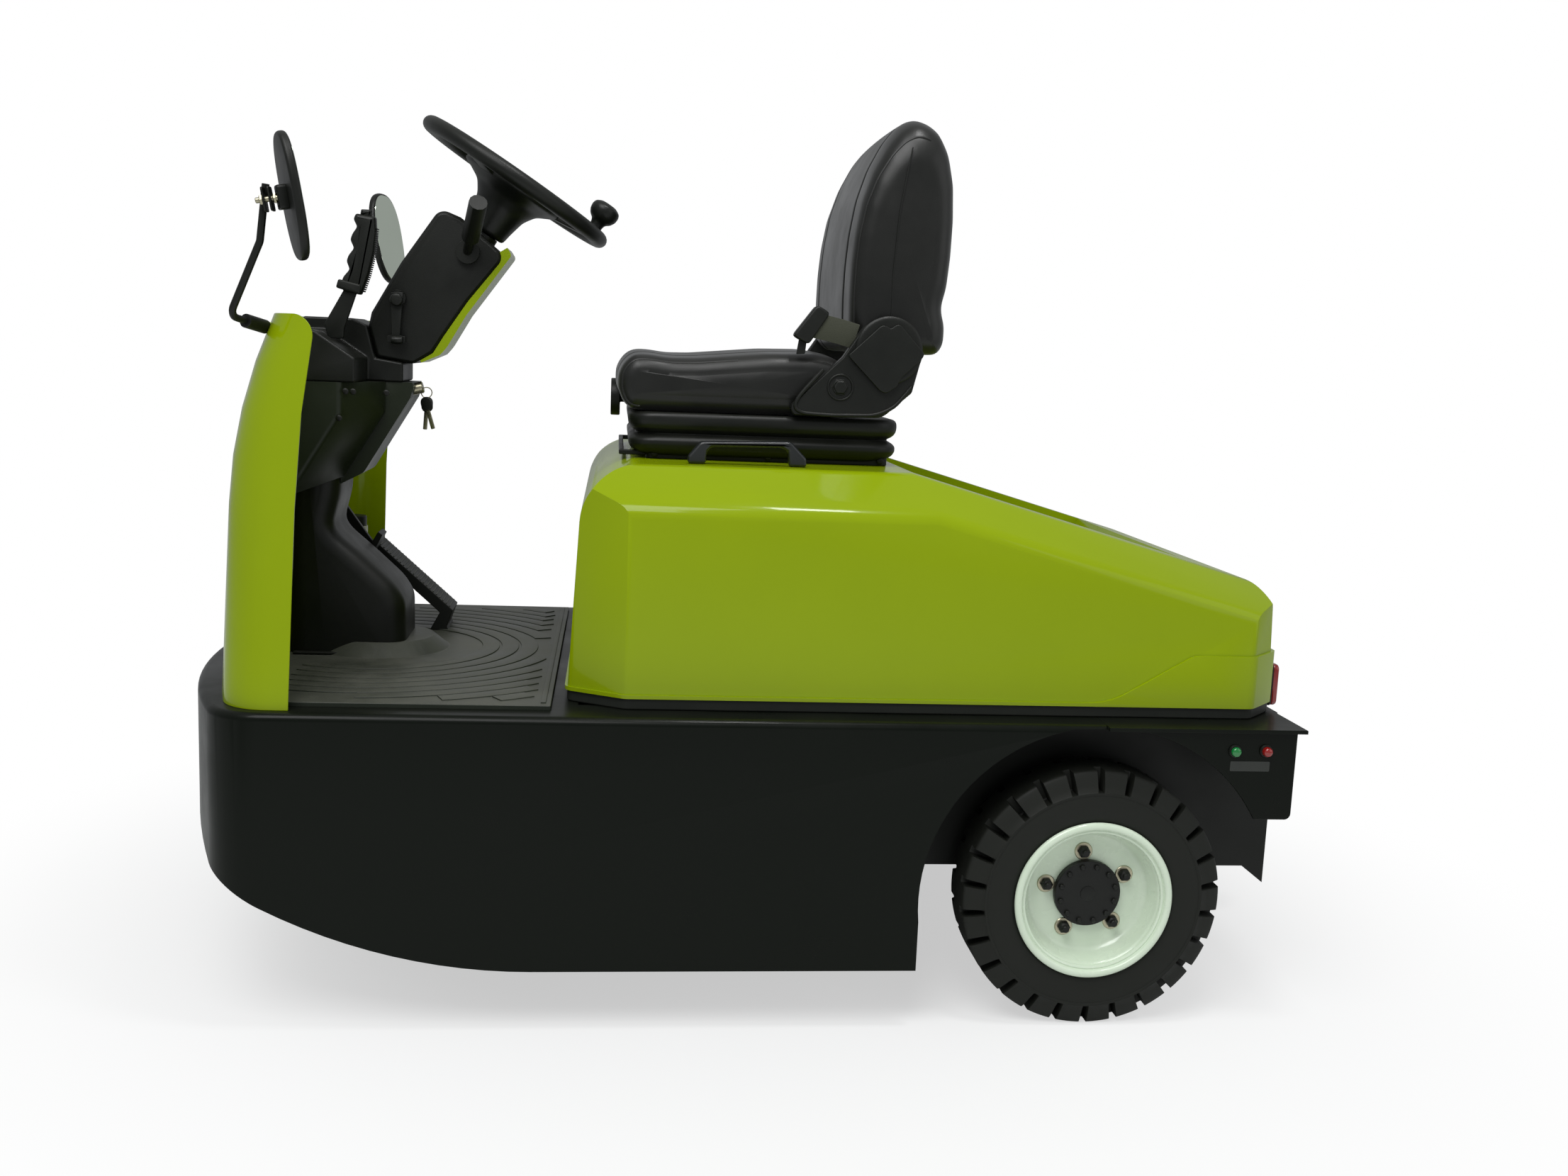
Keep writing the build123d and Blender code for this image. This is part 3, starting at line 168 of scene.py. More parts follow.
def make_finish(name, color, shade, roughness, grain, depth, cells=False, metallic=0.0, coat=0.0,
                drift=90.0, spread=0.08, sheen=0.0, dust=0.0, shine=0.5):
    """Material of one finish, with sizes in millimetres.

    Colour is the base mixed towards the shade by soft noise as wide as the drift. Roughness is the
    given value, spread up and down by the same noise. Relief is noise, or cells like leather's,
    as wide as the grain and as high as the depth. Dust is a pale film on faces that look up, and
    shine is the strength of the surface's own reflection, 0.5 for a clean plastic.
    """
    material = bpy.data.materials.new(name)
    material.use_nodes = True
    tree = material.node_tree
    shader = tree.nodes["Principled BSDF"]
    place = add_node(tree, "TexCoord").outputs["Object"]
    soft = add_node(tree, "TexNoise", {"Scale": 1 / (drift * mm), "Detail": 4.0, "Roughness": 0.6},
                    {"Vector": place})
    mixed = add_node(tree, "Mix", {"data_type": "RGBA", 6: srgb(color), 7: srgb(shade)},
                     {0: soft.outputs["Fac"]})
    result = mixed.outputs[2]
    if dust:
        geometry = add_node(tree, "NewGeometry")
        facing = add_node(tree, "SeparateXYZ", {}, {0: geometry.outputs["Normal"]})
        film = add_node(tree, "MapRange", {1: 0.3, 2: 1.0, 3: 0.0, 4: dust},
                        {0: facing.outputs["Z"]})
        patchy = add_node(tree, "Math", {"operation": "MULTIPLY"},
                          {0: film.outputs[0], 1: soft.outputs["Fac"]})
        result = add_node(tree, "Mix", {"data_type": "RGBA", 7: srgb("#8C8A80")},
                          {0: patchy.outputs[0], 6: result}).outputs[2]
    tree.links.new(result, shader.inputs["Base Color"])
    rough = add_node(tree, "MapRange",
                     {1: 0.3, 2: 0.7, 3: roughness - spread, 4: roughness + spread},
                     {0: soft.outputs["Fac"]})
    tree.links.new(rough.outputs[0], shader.inputs["Roughness"])
    if cells:
        relief = add_node(tree, "TexVoronoi", {"Scale": 1 / (grain * mm)},
                          {"Vector": place}).outputs[0]
    else:
        relief = add_node(tree, "TexNoise", {"Scale": 1 / (grain * mm), "Detail": 3.0},
                          {"Vector": place}).outputs["Fac"]
    bump = add_node(tree, "Bump", {"Strength": 1.0, "Distance": depth * mm}, {"Height": relief})
    tree.links.new(bump.outputs[0], shader.inputs["Normal"])
    shader.inputs["Metallic"].default_value = metallic
    shader.inputs["Coat Weight"].default_value = coat
    shader.inputs["Coat Roughness"].default_value = 0.06
    shader.inputs["Sheen Weight"].default_value = sheen
    shader.inputs["Specular IOR Level"].default_value = shine
    return material


print("lime enamel is", [round(value, 3) for value in srgb("#8A9F04")[:3]], "in linear light")

# %% [markdown]
# What each finish is on the real machine:
# - Hood and shield: moulded and pressed panels in gloss two-pack enamel. The gun leaves an orange
#   peel about 3 mm wide, which breaks up the reflections a little.
# - Skirt and fenders: the same build-up in satin black, so the peel shows less and dust shows
#   more.
# - Chassis, fork and tray: powder coat, with a fine pebble about 1.5 mm wide.
# - Dash, column and boots: moulded ABS with a leather-like grain, drawn 1.6 mm wide so that it
#   shows.
# - Seat: vinyl upholstery, the same kind of grain but glossier, with a soft sheen.
# - Tyres: solid black rubber, dull, with dust in its pores.
# - Floor mat: moulded rubber, paler than a tyre from the dust that shoes leave in its grooves.
# - Hood handles: the same ABS as the dash, worn smooth by hands, so it shines.
# - Belt: woven webbing, its ribs drawn 1.6 mm wide, with the sheen of loose fibres.
# - Rims: white enamel with a touch of green, smooth and bright.
# - Fasteners: zinc plate, a metal with a yellowish and slightly dull shine. Castings keep the
#   sand's pebble, 2 mm wide, under thin paint. The battery's paint is thicker and paler.
# - Lamps and buttons: polycarbonate in deep red or green, with a hard, smooth shine.
# - Bottle: natural polythene, milky and half dull.
# - Mirrors: silvered glass, a metal to the eye, with hardly any roughness.

# %% Finishes
lime_enamel = make_finish("lime_enamel", "#8A9F04", "#839803", 0.2, 3.0, 0.012, coat=0.3,
                          drift=260, spread=0.03, shine=0.1)
black_enamel = make_finish("satin_black_enamel", "#070B06", "#0A0F09", 0.33, 3.0, 0.01, drift=160,
                           dust=0.03, shine=0.1, coat=0.06)
powder_coat = make_finish("black_powder_coat", "#10120F", "#171915", 0.48, 1.5, 0.03, dust=0.1,
                          shine=0.25)
grained_abs = make_finish("grained_black_abs", "#0E100D", "#141612", 0.42, 1.6, 0.06, cells=True,
                          dust=0.05, shine=0.28)
glossy_abs = make_finish("worn_smooth_abs", "#15181A", "#1A1D1E", 0.26, 1.6, 0.02, cells=True,
                         shine=0.55)
green_abs = make_finish("grained_dark_green_abs", "#1A2014", "#20261A", 0.4, 1.6, 0.05, cells=True,
                        dust=0.05, shine=0.25)
floor_rubber = make_finish("moulded_floor_rubber", "#1D201C", "#282B26", 0.55, 1.8, 0.08, dust=0.5,
                           shine=0.3)
tyre_rubber = make_finish("solid_tyre_rubber", "#11130F", "#1C1E19", 0.62, 1.2, 0.05, drift=40,
                          shine=0.25)
rim_enamel = make_finish("mint_white_enamel", "#D9E6D2", "#CBDCC4", 0.28, 3.0, 0.01, coat=0.4,
                         drift=50)
seat_vinyl = make_finish("black_seat_vinyl", "#0D0E0C", "#131411", 0.36, 1.5, 0.05, cells=True,
                         sheen=0.08, drift=120, dust=0.05, shine=0.35)
zinc_plate = make_finish("zinc_plate", "#B9B39A", "#9E9A86", 0.34, 1.0, 0.01, metallic=1.0,
                         drift=14)
black_casting = make_finish("painted_casting", "#0B0D0B", "#131411", 0.48, 2.2, 0.1, dust=0.05,
                            shine=0.3)
battery_paint = make_finish("acid_proof_paint", "#2B2D31", "#25272A", 0.4, 2.0, 0.02)
red_lens = make_finish("red_polycarbonate", "#8E1410", "#7A0F0C", 0.12, 3.0, 0.02, coat=0.6,
                       spread=0.02)
green_lens = make_finish("green_polycarbonate", "#0E7A36", "#0C6A2E", 0.12, 3.0, 0.02, coat=0.6,
                         spread=0.02)
polythene = make_finish("natural_polythene", "#DDDCC8", "#CFCDB6", 0.35, 2.0, 0.02)
mirror_silver = make_finish("silvered_glass", "#DDE6D6", "#D5DFCE", 0.05, 60.0, 0.01,
                            metallic=1.0, spread=0.01)
blank_label = make_finish("blank_label_film", "#1B1F1A", "#20241F", 0.25, 2.0, 0.005)
belt_webbing = make_finish("olive_belt_webbing", "#34362B", "#3C3E32", 0.6, 1.6, 0.25, cells=True,
                           sheen=0.2, drift=30, shine=0.2)
mat_rubber = make_finish("moulded_mat_rubber", "#20251E", "#2A3027", 0.46, 1.8, 0.08, dust=0.38,
                         shine=0.3)

finishes = {"lime_paint": lime_enamel, "black_paint": black_enamel, "black_steel": powder_coat,
            "black_plastic": grained_abs, "dark_plastic": green_abs, "floor_rubber": floor_rubber,
            "tyre_rubber": tyre_rubber, "rim_paint": rim_enamel, "seat_vinyl": seat_vinyl,
            "zinc_steel": zinc_plate, "cast_black": black_casting, "battery_case": battery_paint,
            "lamp_red": red_lens, "bottle_white": polythene}
slots = {subpart["node"]: subpart["material_slot"] for subpart in frame["record"]["subparts"]}
for node_name, slot_name in slots.items():
    for material_slot in frame["nodes"][node_name].material_slots:
        material_slot.material = finishes[slot_name]

# Two nodes get a finish of their own when they are softened, so these two keys are node names.
finishes["floor_mat"] = mat_rubber
finishes["hood_handles"] = glossy_abs
print("finished nodes:", len(slots), "with", len(finishes), "finishes")

# %% [markdown]
# Surfaces. Nearly every added piece is a grid of points worked out with numpy: a profile turned
# about an axis, a section swept along a path, an outline given a thickness with rounded edges, or
# rings stacked up. Spin and extrude tools could do the same by hand; arrays keep each shape as
# one readable formula. A closed shape knows its own signed volume, so it is turned right side out
# by itself.

# %% Grids


def grid_part(grid, wrap_rows=False):
    """Part of a mesh from rows of points whose columns close on themselves.

    Quads join each point with its neighbours. Where the rows don't close, a face fills each end.
    The volume is the sum over faces of corner . (corner x corner) / 6; below zero, all faces turn.
    """
    rows, columns = grid.shape[:2]
    points = grid.reshape(-1, 3)
    row, column = np.meshgrid(np.arange(rows if wrap_rows else rows - 1), np.arange(columns),
                              indexing="ij")
    next_row, next_column = (row + 1) % rows, (column + 1) % columns
    quads = np.stack([row * columns + column, row * columns + next_column,
                      next_row * columns + next_column, next_row * columns + column], -1)
    quads = quads.reshape(-1, 4)
    ends = []
    if not wrap_rows:
        ends = [np.arange(columns)[::-1], np.arange(columns) + (rows - 1) * columns]
    local = points - points.mean(axis=0)
    a, b, c, d = (local[quads[:, corner]] for corner in range(4))
    volume = (np.einsum("ij,ij->i", a, np.cross(b, c))
              + np.einsum("ij,ij->i", a, np.cross(c, d))).sum()
    for end in ends:
        corners = local[end]
        volume += np.einsum("ij,ij->i", np.broadcast_to(corners[0], corners[1:-1].shape),
                            np.cross(corners[1:-1], corners[2:])).sum()
    if volume < 0:
        quads = quads[:, ::-1]
        ends = [end[::-1] for end in ends]
    return points, quads, ends


box_rings = np.array([[(1, 1, up), (-1, 1, up), (-1, -1, up), (1, -1, up)] for up in (0.0, 1.0)])
print("a box is", len(grid_part(box_rings)[1]), "quads and", len(grid_part(box_rings)[2]), "ends")

# %% [markdown]
# Turned and swept shapes. A lathe turns a profile about an axis, and a bender carries a section
# along a path. Both need two directions square to a third one, which cross products give.

# %% Turned and swept shapes
tip = 0.05  # radius in millimetres where a turned profile ends: a tiny face, and no pole


def unit(vectors):
    """Vectors divided by their own lengths."""
    return vectors / np.linalg.norm(vectors, axis=-1, keepdims=True)


def side_axes(axis):
    """Two directions square to an axis and to each other."""
    axis = unit(np.asarray(axis, float))
    helper = np.array([0.0, 0.0, 1.0]) if abs(axis[2]) < 0.9 else np.array([1.0, 0.0, 0.0])
    first = unit(np.cross(helper, axis))
    return axis, first, np.cross(axis, first)


def turned(profile, origin, axis, sides=96, ring=False):
    """Profile of (radius, along) in millimetres turned about an axis from an origin in metres.

    A point is origin + along x axis + radius x (cos a x first + sin a x second).
    """
    axis, first, second = side_axes(axis)
    radius, along = np.asarray(profile, float).T[:, :, None] * mm
    angle = np.linspace(0, 2 * math.pi, sides, endpoint=False)
    around = np.cos(angle)[:, None] * first + np.sin(angle)[:, None] * second
    grid = np.asarray(origin) + along[..., None] * axis + radius[..., None] * around
    return grid_part(grid, wrap_rows=ring)


def swept(path, section, up=(0, 0, 1)):
    """Section of (sideways, upwards) in millimetres carried along a path of points in metres.

    Sideways is path direction x up, and upwards is sideways x path direction.
    """
    path = np.asarray(path, float)
    ahead = unit(np.gradient(path, axis=0))
    sideways = unit(np.cross(ahead, up))
    upwards = np.cross(sideways, ahead)
    across, rise = np.asarray(section, float).T * mm
    grid = (path[:, None] + across[None, :, None] * sideways[:, None]
            + rise[None, :, None] * upwards[:, None])
    return grid_part(grid)


def circle(radius, sides=16):
    """Closed section round a circle: radius x cos a sideways and radius x sin a upwards."""
    angle = np.linspace(0, 2 * math.pi, sides, endpoint=False)
    return np.column_stack([radius * np.cos(angle), radius * np.sin(angle)])


axle_sides = [direction.tolist() for direction in side_axes((0, 1, 0))[1:]]
print("square to an axle along Y:", axle_sides)

# %% [markdown]
# Outlines and plates. A pressed or moulded part is often one outline with a thickness and soft
# edges. The outline is written as a few points, rounded by averaging, and drawn in along its own
# normals near each face. Curve objects could round it too, but their points are harder to follow.

# %% Outlines and plates


def smooth_run(table, count, passes=3, closed=False):
    """Table of control rows sampled evenly along its length, then averaged with its neighbours.

    The averaging rounds the corners; the ends of an open run stay where they are.
    """
    table = np.asarray(table, float)
    if closed:
        table = np.vstack([table, table[:1]])
    steps = np.concatenate([[0], np.cumsum(np.linalg.norm(np.diff(table, axis=0), axis=1))])
    where = np.linspace(0, steps[-1], count, endpoint=not closed)
    run = np.column_stack([np.interp(where, steps, column) for column in table.T])
    for _ in range(passes):
        if closed:
            run = (np.roll(run, 1, axis=0) + 2 * run + np.roll(run, -1, axis=0)) / 4
        else:
            run[1:-1] = (run[:-2] + 2 * run[1:-1] + run[2:]) / 4
    return run


def outline_normals(outline):
    """Outward normals of a closed outline, from each point's neighbours.

    The shoelace area, the sum of x1 y2 - y1 x2, tells which way round the outline runs.
    """
    along = np.roll(outline, -1, axis=0) - np.roll(outline, 1, axis=0)
    x, y = outline[:, 0], outline[:, 1]
    area = np.sum(x * np.roll(y, -1) - y * np.roll(x, -1))
    return unit(np.column_stack([along[:, 1], -along[:, 0]])) * np.sign(area)


def plate(outline, origin, x_axis, y_axis, thickness, edge=2.0, steps=4):
    """Closed outline in millimetres given a thickness along x_axis x y_axis, with rounded edges.

    Rows climb from one face to the other. Near each face they draw in along the outline's own
    normals by edge x (1 - sin a), while they rise by edge x (1 - cos a).
    """
    outline = np.asarray(outline, float)
    outward = outline_normals(outline)
    quarter = np.linspace(0, math.pi / 2, steps)
    drawn_in = edge * (1 - np.sin(quarter))
    rise = edge * (1 - np.cos(quarter))
    drawn_in = np.concatenate([drawn_in, drawn_in[::-1]])
    rise = np.concatenate([rise, thickness - rise[::-1]])
    flat = outline[None] - drawn_in[:, None, None] * outward[None]
    x_axis, y_axis = np.asarray(x_axis, float), np.asarray(y_axis, float)
    grid = (np.asarray(origin) + flat[..., :1] * mm * x_axis + flat[..., 1:] * mm * y_axis
            + rise[:, None, None] * mm * np.cross(x_axis, y_axis))
    return grid_part(grid)


print("outward at a square's corners:", outline_normals(box_rings[0, :, :2]).round(2).tolist())

# %% [markdown]
# Pieces. Parts that are made and painted together become one object, its mesh filled by arrays
# with foreach_set. Faces are shaded smooth, and edges that turn by more than 38 degrees sharp.

# %% Pieces
smooth_angle = math.radians(38)


def add_piece(name, parts, material, body, replaced=()):
    """Object from several parts, with its finish, its body and the nodes that it stands for."""
    starts = np.cumsum([0] + [len(points) for points, _, _ in parts])
    faces = [quads + start for (_, quads, _), start in zip(parts, starts)]
    ends = [end + start for (_, _, ends_here), start in zip(parts, starts) for end in ends_here]
    loops = np.concatenate([quads.ravel() for quads in faces] + ends)
    quad_count = sum(len(quads) for quads in faces)
    sizes = np.concatenate([np.full(quad_count, 4), [len(end) for end in ends]])
    mesh = bpy.data.meshes.new(name)
    mesh.vertices.add(starts[-1])
    mesh.vertices.foreach_set("co", np.concatenate([points for points, _, _ in parts]).ravel())
    mesh.loops.add(len(loops))
    mesh.loops.foreach_set("vertex_index", loops.astype(np.int32))
    mesh.polygons.add(len(sizes))
    first_loops = np.concatenate([[0], np.cumsum(sizes)[:-1]])
    mesh.polygons.foreach_set("loop_start", first_loops.astype(np.int32))
    mesh.polygons.foreach_set("use_smooth", np.ones(len(sizes), bool))
    mesh.update(calc_edges=True)
    mesh.validate()
    mesh.set_sharp_from_angle(angle=smooth_angle)
    mesh.materials.append(material)
    piece = bpy.data.objects.new(name, mesh)
    scene.collection.objects.link(piece)
    if replaced:
        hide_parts(*replaced)
    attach(piece, body)
    print(name, "faces:", len(sizes))
    return piece


print("sharp edges turn by more than", round(math.degrees(smooth_angle)), "degrees")

# %% [markdown]
# Softened copies. A moulded or cast piece has no knife edges, and light gathers on its rounded
# corners. The CAD nodes keep crisp ones, because their meshes must not change. So a copy is
# merged into whole faces and gets a Bevel modifier, which rounds every edge that turns sharply.
# Modelling the fillets in the CAD would do it too, at the cost of heavy solids.

# %% Softened pieces
import bmesh


def soften(node_name, width):
    """Copy of a CAD node, its triangles merged into flat faces and its sharp edges rounded."""
    node_object = frame["nodes"][node_name]
    body = body_of(node_object)[0]
    mesh = node_object.data.copy()
    shape = bmesh.new()
    shape.from_mesh(mesh)
    bmesh.ops.remove_doubles(shape, verts=shape.verts, dist=0.00002)
    bmesh.ops.dissolve_limit(shape, angle_limit=math.radians(1.0), verts=shape.verts,
                             edges=shape.edges)
    shape.to_mesh(mesh)
    shape.free()
    mesh.polygons.foreach_set("use_smooth", np.ones(len(mesh.polygons), bool))
    mesh.set_sharp_from_angle(angle=smooth_angle)
    mesh.materials.clear()
    mesh.materials.append(finishes.get(node_name, finishes[slots[node_name]]))
    copy = bpy.data.objects.new(node_name + "_soft", mesh)
    scene.collection.objects.link(copy)
    bevel = copy.modifiers.new("rounded edges", "BEVEL")
    bevel.width = width * mm
    bevel.segments = 3
    bevel.limit_method = "ANGLE"
    bevel.angle_limit = math.radians(30)
    bevel.harden_normals = True
    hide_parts(node_name)
    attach(copy, body)
    return copy


# Each node's rounding in millimetres.
rounding = {"hood": 4.0, "shield": 1.2, "skirt": 2.5, "rear_fenders": 2.5, "chassis": 1.0,
            "steer_fork": 2.0, "tow_coupling": 2.0, "tow_pin": 1.5, "drive_axle": 3.0,
            "battery": 5.0, "hood_seal": 3.0, "floor_mat": 1.5, "dash_lower": 4.0,
            "dash_cowl": 4.0, "column_cover": 4.0, "column_levers": 2.5,
            "accelerator_pedal": 1.5, "brake_pedal": 1.5, "fluid_reservoir": 2.0,
            "hood_handles": 5.0, "seat_base": 2.0, "seat_controls": 2.0,
            "recliner_covers": 5.0, "seat_belt": 3.0, "mirror_arms": 0.6,
            "hub_rear_left": 3.0, "hub_rear_right": 3.0}
softened = {name: soften(name, width) for name, width in rounding.items()}
print("softened nodes:", len(softened))

# %% [markdown]
# Tyres. A solid tow-tractor tyre is pressed in a mould: a plain bulging sidewall, a raised ring,
# and 26 lugs on each shoulder with a slot between every two. Its cross section is one closed
# profile; the slots are a dip of that surface, so the tyre stays a single closed skin. Cutting
# each slot with a Boolean would leave the same shape with untidy faces.

# %% Tyres
tyre_radius = 207.5
lug_count = 26
slot_floor = 174.5
slot_half = 6.2
slot_draft = 1.6
lug_inner = 21
lug_draft = 3.5
half_profile = [(124.3, 0), (124.3, 46), (126.5, 49.5), (131, 52), (138, 54), (148, 55.1),
                (158, 55.3), (166, 54.6), (170, 53.8), (171.5, 54.9), (174.5, 54.9), (176, 53.2),
                (186, 50.3), (196, 47), (203, 44.2), (206, 42.2), (207.3, 39.6), (207.5, 36),
                (207.5, 31), (207.5, 26), (207.5, 24), (207.5, 22), (207.5, 20), (207.5, 12),
                (207.5, 4)]
slot_steps = [-25.05, -17, -10, -slot_half, -5.4, -4, -1.5, 1.5, 4, 5.4, slot_half, 10, 17]


def smooth_step(share):
    """The curve 3 s^2 - 2 s^3 from 0 to 1, level at both ends and beyond them."""
    share = np.clip(share, 0, 1)
    return share * share * (3 - 2 * share)


def tyre_part(centre, outward):
    """Tyre about an axle along Y, centre in metres.

    The profile (radius, width) turns about the axle. In a slot, radius drops to the floor by
    step(around) x step(width), both smooth steps. Around is the distance from the slot's middle.
    """
    profile = np.array(half_profile)
    mirrored = profile[1:][::-1] * (1, -1)
    profile = np.vstack([profile, mirrored])
    pitch = 2 * math.pi / lug_count
    steps = np.array(slot_steps)
    angle = (np.arange(lug_count)[:, None] * pitch + steps / tyre_radius).ravel()
    around = np.tile(np.abs(steps), lug_count)
    inside = smooth_step((slot_half - around) / slot_draft)
    deep = smooth_step((np.abs(profile[:, 1]) - lug_inner) / lug_draft)
    mask = inside[None] * deep[:, None]
    radius = profile[:, :1] - mask * np.maximum(profile[:, :1] - slot_floor, 0)
    width = np.broadcast_to(profile[:, 1:], radius.shape) * outward
    grid = np.stack([radius * np.sin(angle), width, radius * np.cos(angle)], -1)
    return grid_part(grid * mm + centre, wrap_rows=True)


wheelbase = 1165
wheel_side = 428
wheels = {"front": (at([(wheelbase, 0, tyre_radius)])[0], 1, "front_wheel"),
          "rear_left": (at([(0, wheel_side, tyre_radius)])[0], 1, "rear_left_wheel"),
          "rear_right": (at([(0, -wheel_side, tyre_radius)])[0], -1, "rear_right_wheel")}
for wheel, (centre, outward, body) in wheels.items():
    add_piece("tread_" + wheel, [tyre_part(centre, outward)], tyre_rubber, body,
              ["tyre_" + wheel])

# %% [markdown]
# Rims. The pressed rim is one turned section: a rolled lip that holds the tyre, a barrel, and a
# dished disc 46 mm inside. A split lock ring lies in the lip, five domed nuts on yellowish
# washers hold the wheel, and small screws ring the hub cap. Nuts and screws are turned profiles
# too, with six sides where a spanner goes.

# %% Rims, nuts and screws
rim_loop = [(115, 56), (117, 58.5), (121, 59), (125, 57.5), (127.5, 54), (126.5, 50), (124, 47.5),
            (124, 20), (124, -20), (124, -47.5), (127, -52), (125, -57), (120, -58.5), (115, -56),
            (116, -48), (116.5, -20), (115.5, 0), (50.5, 0), (50.5, 9.5), (88, 9.5), (94, 11),
            (99, 16), (103, 24), (106, 34), (107.5, 42), (111, 44.5), (113, 47), (113.5, 50)]
lock_ring = [(109, -3), (108.5, 0), (109.6, 2.4), (112, 3.6), (114.5, 3), (115, 0), (114, -3)]
stud_end = [(tip, 0), (5.5, 0), (5.5, 17), (4.5, 18), (tip, 18)]
washer = [(tip, 0), (14.5, 0), (14.5, 1.6), (13.5, 2.6), (tip, 2.6)]
disc_face = 9.5
lock_ring_side = 49
nut_circle = 67
nut_angles = (83, 11, -61, 155, 227)
nut_radius, nut_height = 10, 13


def domed(radius, height):
    """Profile of a nut or screw head: upright sides up to 0.6 of its height, then a dome."""
    return [(tip, 0), (radius, 0), (radius, height * 0.6), (radius * 0.82, height * 0.86),
            (radius * 0.45, height), (tip, height)]


def along_axle(centre, outward, distance, angle, width):
    """Point at a distance and an angle from the axle, a width out from the wheel's middle."""
    turned_by = math.radians(angle)
    return centre + np.array([distance * math.cos(turned_by), outward * width,
                              distance * math.sin(turned_by)]) * mm


rim_section = smooth_run(rim_loop, 190, passes=2, closed=True)
for wheel, (centre, outward, body) in wheels.items():
    axle = (0, outward, 0)
    add_piece("pressed_rim_" + wheel, [turned(rim_section, centre, axle, 128, ring=True)],
              rim_enamel, body, ["rim_" + wheel])
    nuts, washers = [], []
    for angle in nut_angles:
        spot = along_axle(centre, outward, nut_circle, angle, disc_face - 0.4)
        nuts.append(turned(domed(nut_radius, nut_height), spot, axle, 6))
        nuts.append(turned(stud_end, spot, axle, 16))
        washers.append(turned(washer, spot, axle, 28))
    add_piece("wheel_nuts_" + wheel, nuts, black_casting, body)
    add_piece("wheel_washers_" + wheel, washers, zinc_plate, body)
    ring_place = along_axle(centre, outward, 0, 0, lock_ring_side)
    add_piece("lock_ring_" + wheel, [turned(lock_ring, ring_place, axle, 128, ring=True)],
              rim_enamel, body)

# %% [markdown]
# Hub caps. On the driven wheels the hub's end shows: a casting closed by a ring of small screws
# round a low plug. The front wheel turns on a plain pin and has none. An Array modifier could
# turn one screw into twelve; a loop over angles keeps them in one mesh.

# %% Hub caps
plug = [(tip, 0), (12, 0), (12, 1.2), (10, 2.2), (tip, 2.2)]
hub_face = 22
cap_screw_count = 12
cap_screw_circle = 45
for wheel in ("rear_left", "rear_right"):
    centre, outward, body = wheels[wheel]
    axle = (0, outward, 0)
    cap_screws = []
    for number in range(cap_screw_count):
        angle = 15 + 360 / cap_screw_count * number
        spot = along_axle(centre, outward, cap_screw_circle, angle, hub_face - 0.5)
        cap_screws.append(turned(domed(4.6, 5), spot, axle, 6))
    cap_screws.append(turned(plug, along_axle(centre, outward, 0, 0, hub_face - 0.2), axle, 32))
    add_piece("cap_screws_" + wheel, cap_screws, black_casting, body)

# %% [markdown]
# Upholstery. Cushion and back are foam in sewn vinyl covers: flat side panels, rounded edges with
# a seam, and a softer middle panel between firm bolsters. Each is its side outline carried across
# the width. At the sides the outline draws in along its own normals, in the middle it swells, and
# at each seam it dips. Cloth under pressure would swell too, but its seams would have to be cut
# in afterwards.

# %% Upholstery
seat_half = 240
bolster_seam = 156
outline_points = 220
seam_shifts = (-8, -5.5, -3.5, -2, -1, 0, 1, 2, 3.5, 5.5, 8)


def upholstered(outline, half, edge, swell, seam, dip, facing, lower=None, side_bulge=4.0):
    """Side outline in millimetres carried across the seat, left to right.

    Width runs over -half to half, bunched near the sides. There the outline draws in by
    edge x (1 - sqrt(1 - near^2)). Elsewhere it moves out by swell x (1 - (width / half)^2) x facing
    weight, and in at both seams by dip x exp(-(distance / 4)^2) x facing weight. Each side panel
    shrinks to its own middle in rings and bulges by side_bulge x (1 - share^2).
    """
    run = smooth_run(outline, outline_points, passes=6, closed=True)
    normals = outline_normals(run)
    weight = np.clip(normals @ np.asarray(facing, float), 0, 1) ** 0.5
    quarter = np.linspace(0, math.pi / 2, 9)
    rim = half - edge * (1 - np.cos(quarter[::-1]))
    even = np.linspace(-(half - edge), half - edge, 41)[1:-1]
    by_seams = [side * seam + np.array(seam_shifts) for side in (-1, 1)]
    middle = np.concatenate([even, *by_seams])
    width = np.concatenate([-rim[::-1], np.sort(middle), rim])
    width[0], width[-1] = -half, half
    near = np.clip((np.abs(width) - (half - edge)) / edge, 0, 1)
    drawn_in = edge * (1 - np.sqrt(1 - near * near))
    out = swell * (1 - (width / half) ** 2) - dip * np.exp(-((np.abs(width) - seam) / 4) ** 2)
    move = out[:, None] * weight[None] - drawn_in[:, None]
    shape = run[None] + move[..., None] * normals[None]
    if lower is not None:
        shape[..., 1] = lower(shape[..., 0], width[:, None], shape[..., 1])
    cap = np.array([0.93, 0.8, 0.6, 0.35, 0.03])[:, None, None]
    first, last = [end.mean(axis=0) + (end - end.mean(axis=0)) * cap
                   for end in (shape[0], shape[-1])]
    shape = np.concatenate([first[::-1], shape, last])
    bulge = side_bulge * (1 - cap[:, 0, 0] ** 2)
    width = np.concatenate([-(half + bulge[::-1]), width, half + bulge])
    across = np.broadcast_to(width[:, None], shape.shape[:2])
    return grid_part(at(np.stack([shape[..., 0], across, shape[..., 1]], -1)))


def crest(ahead, width, up):
    """Shoulders of the back: above 1200 mm, height falls towards the corners as an ellipse does."""
    side = np.clip((np.abs(width) - 165) / 75, 0, 1)
    fall = 58 * (1 - np.sqrt(1 - side * side * 0.96))
    high = np.clip((up - 1200) / 206, 0, 1)
    return up - fall * high ** 1.3


print("the back's corners lie", round(float(1400 - crest(0, seat_half, 1400))), "mm lower")

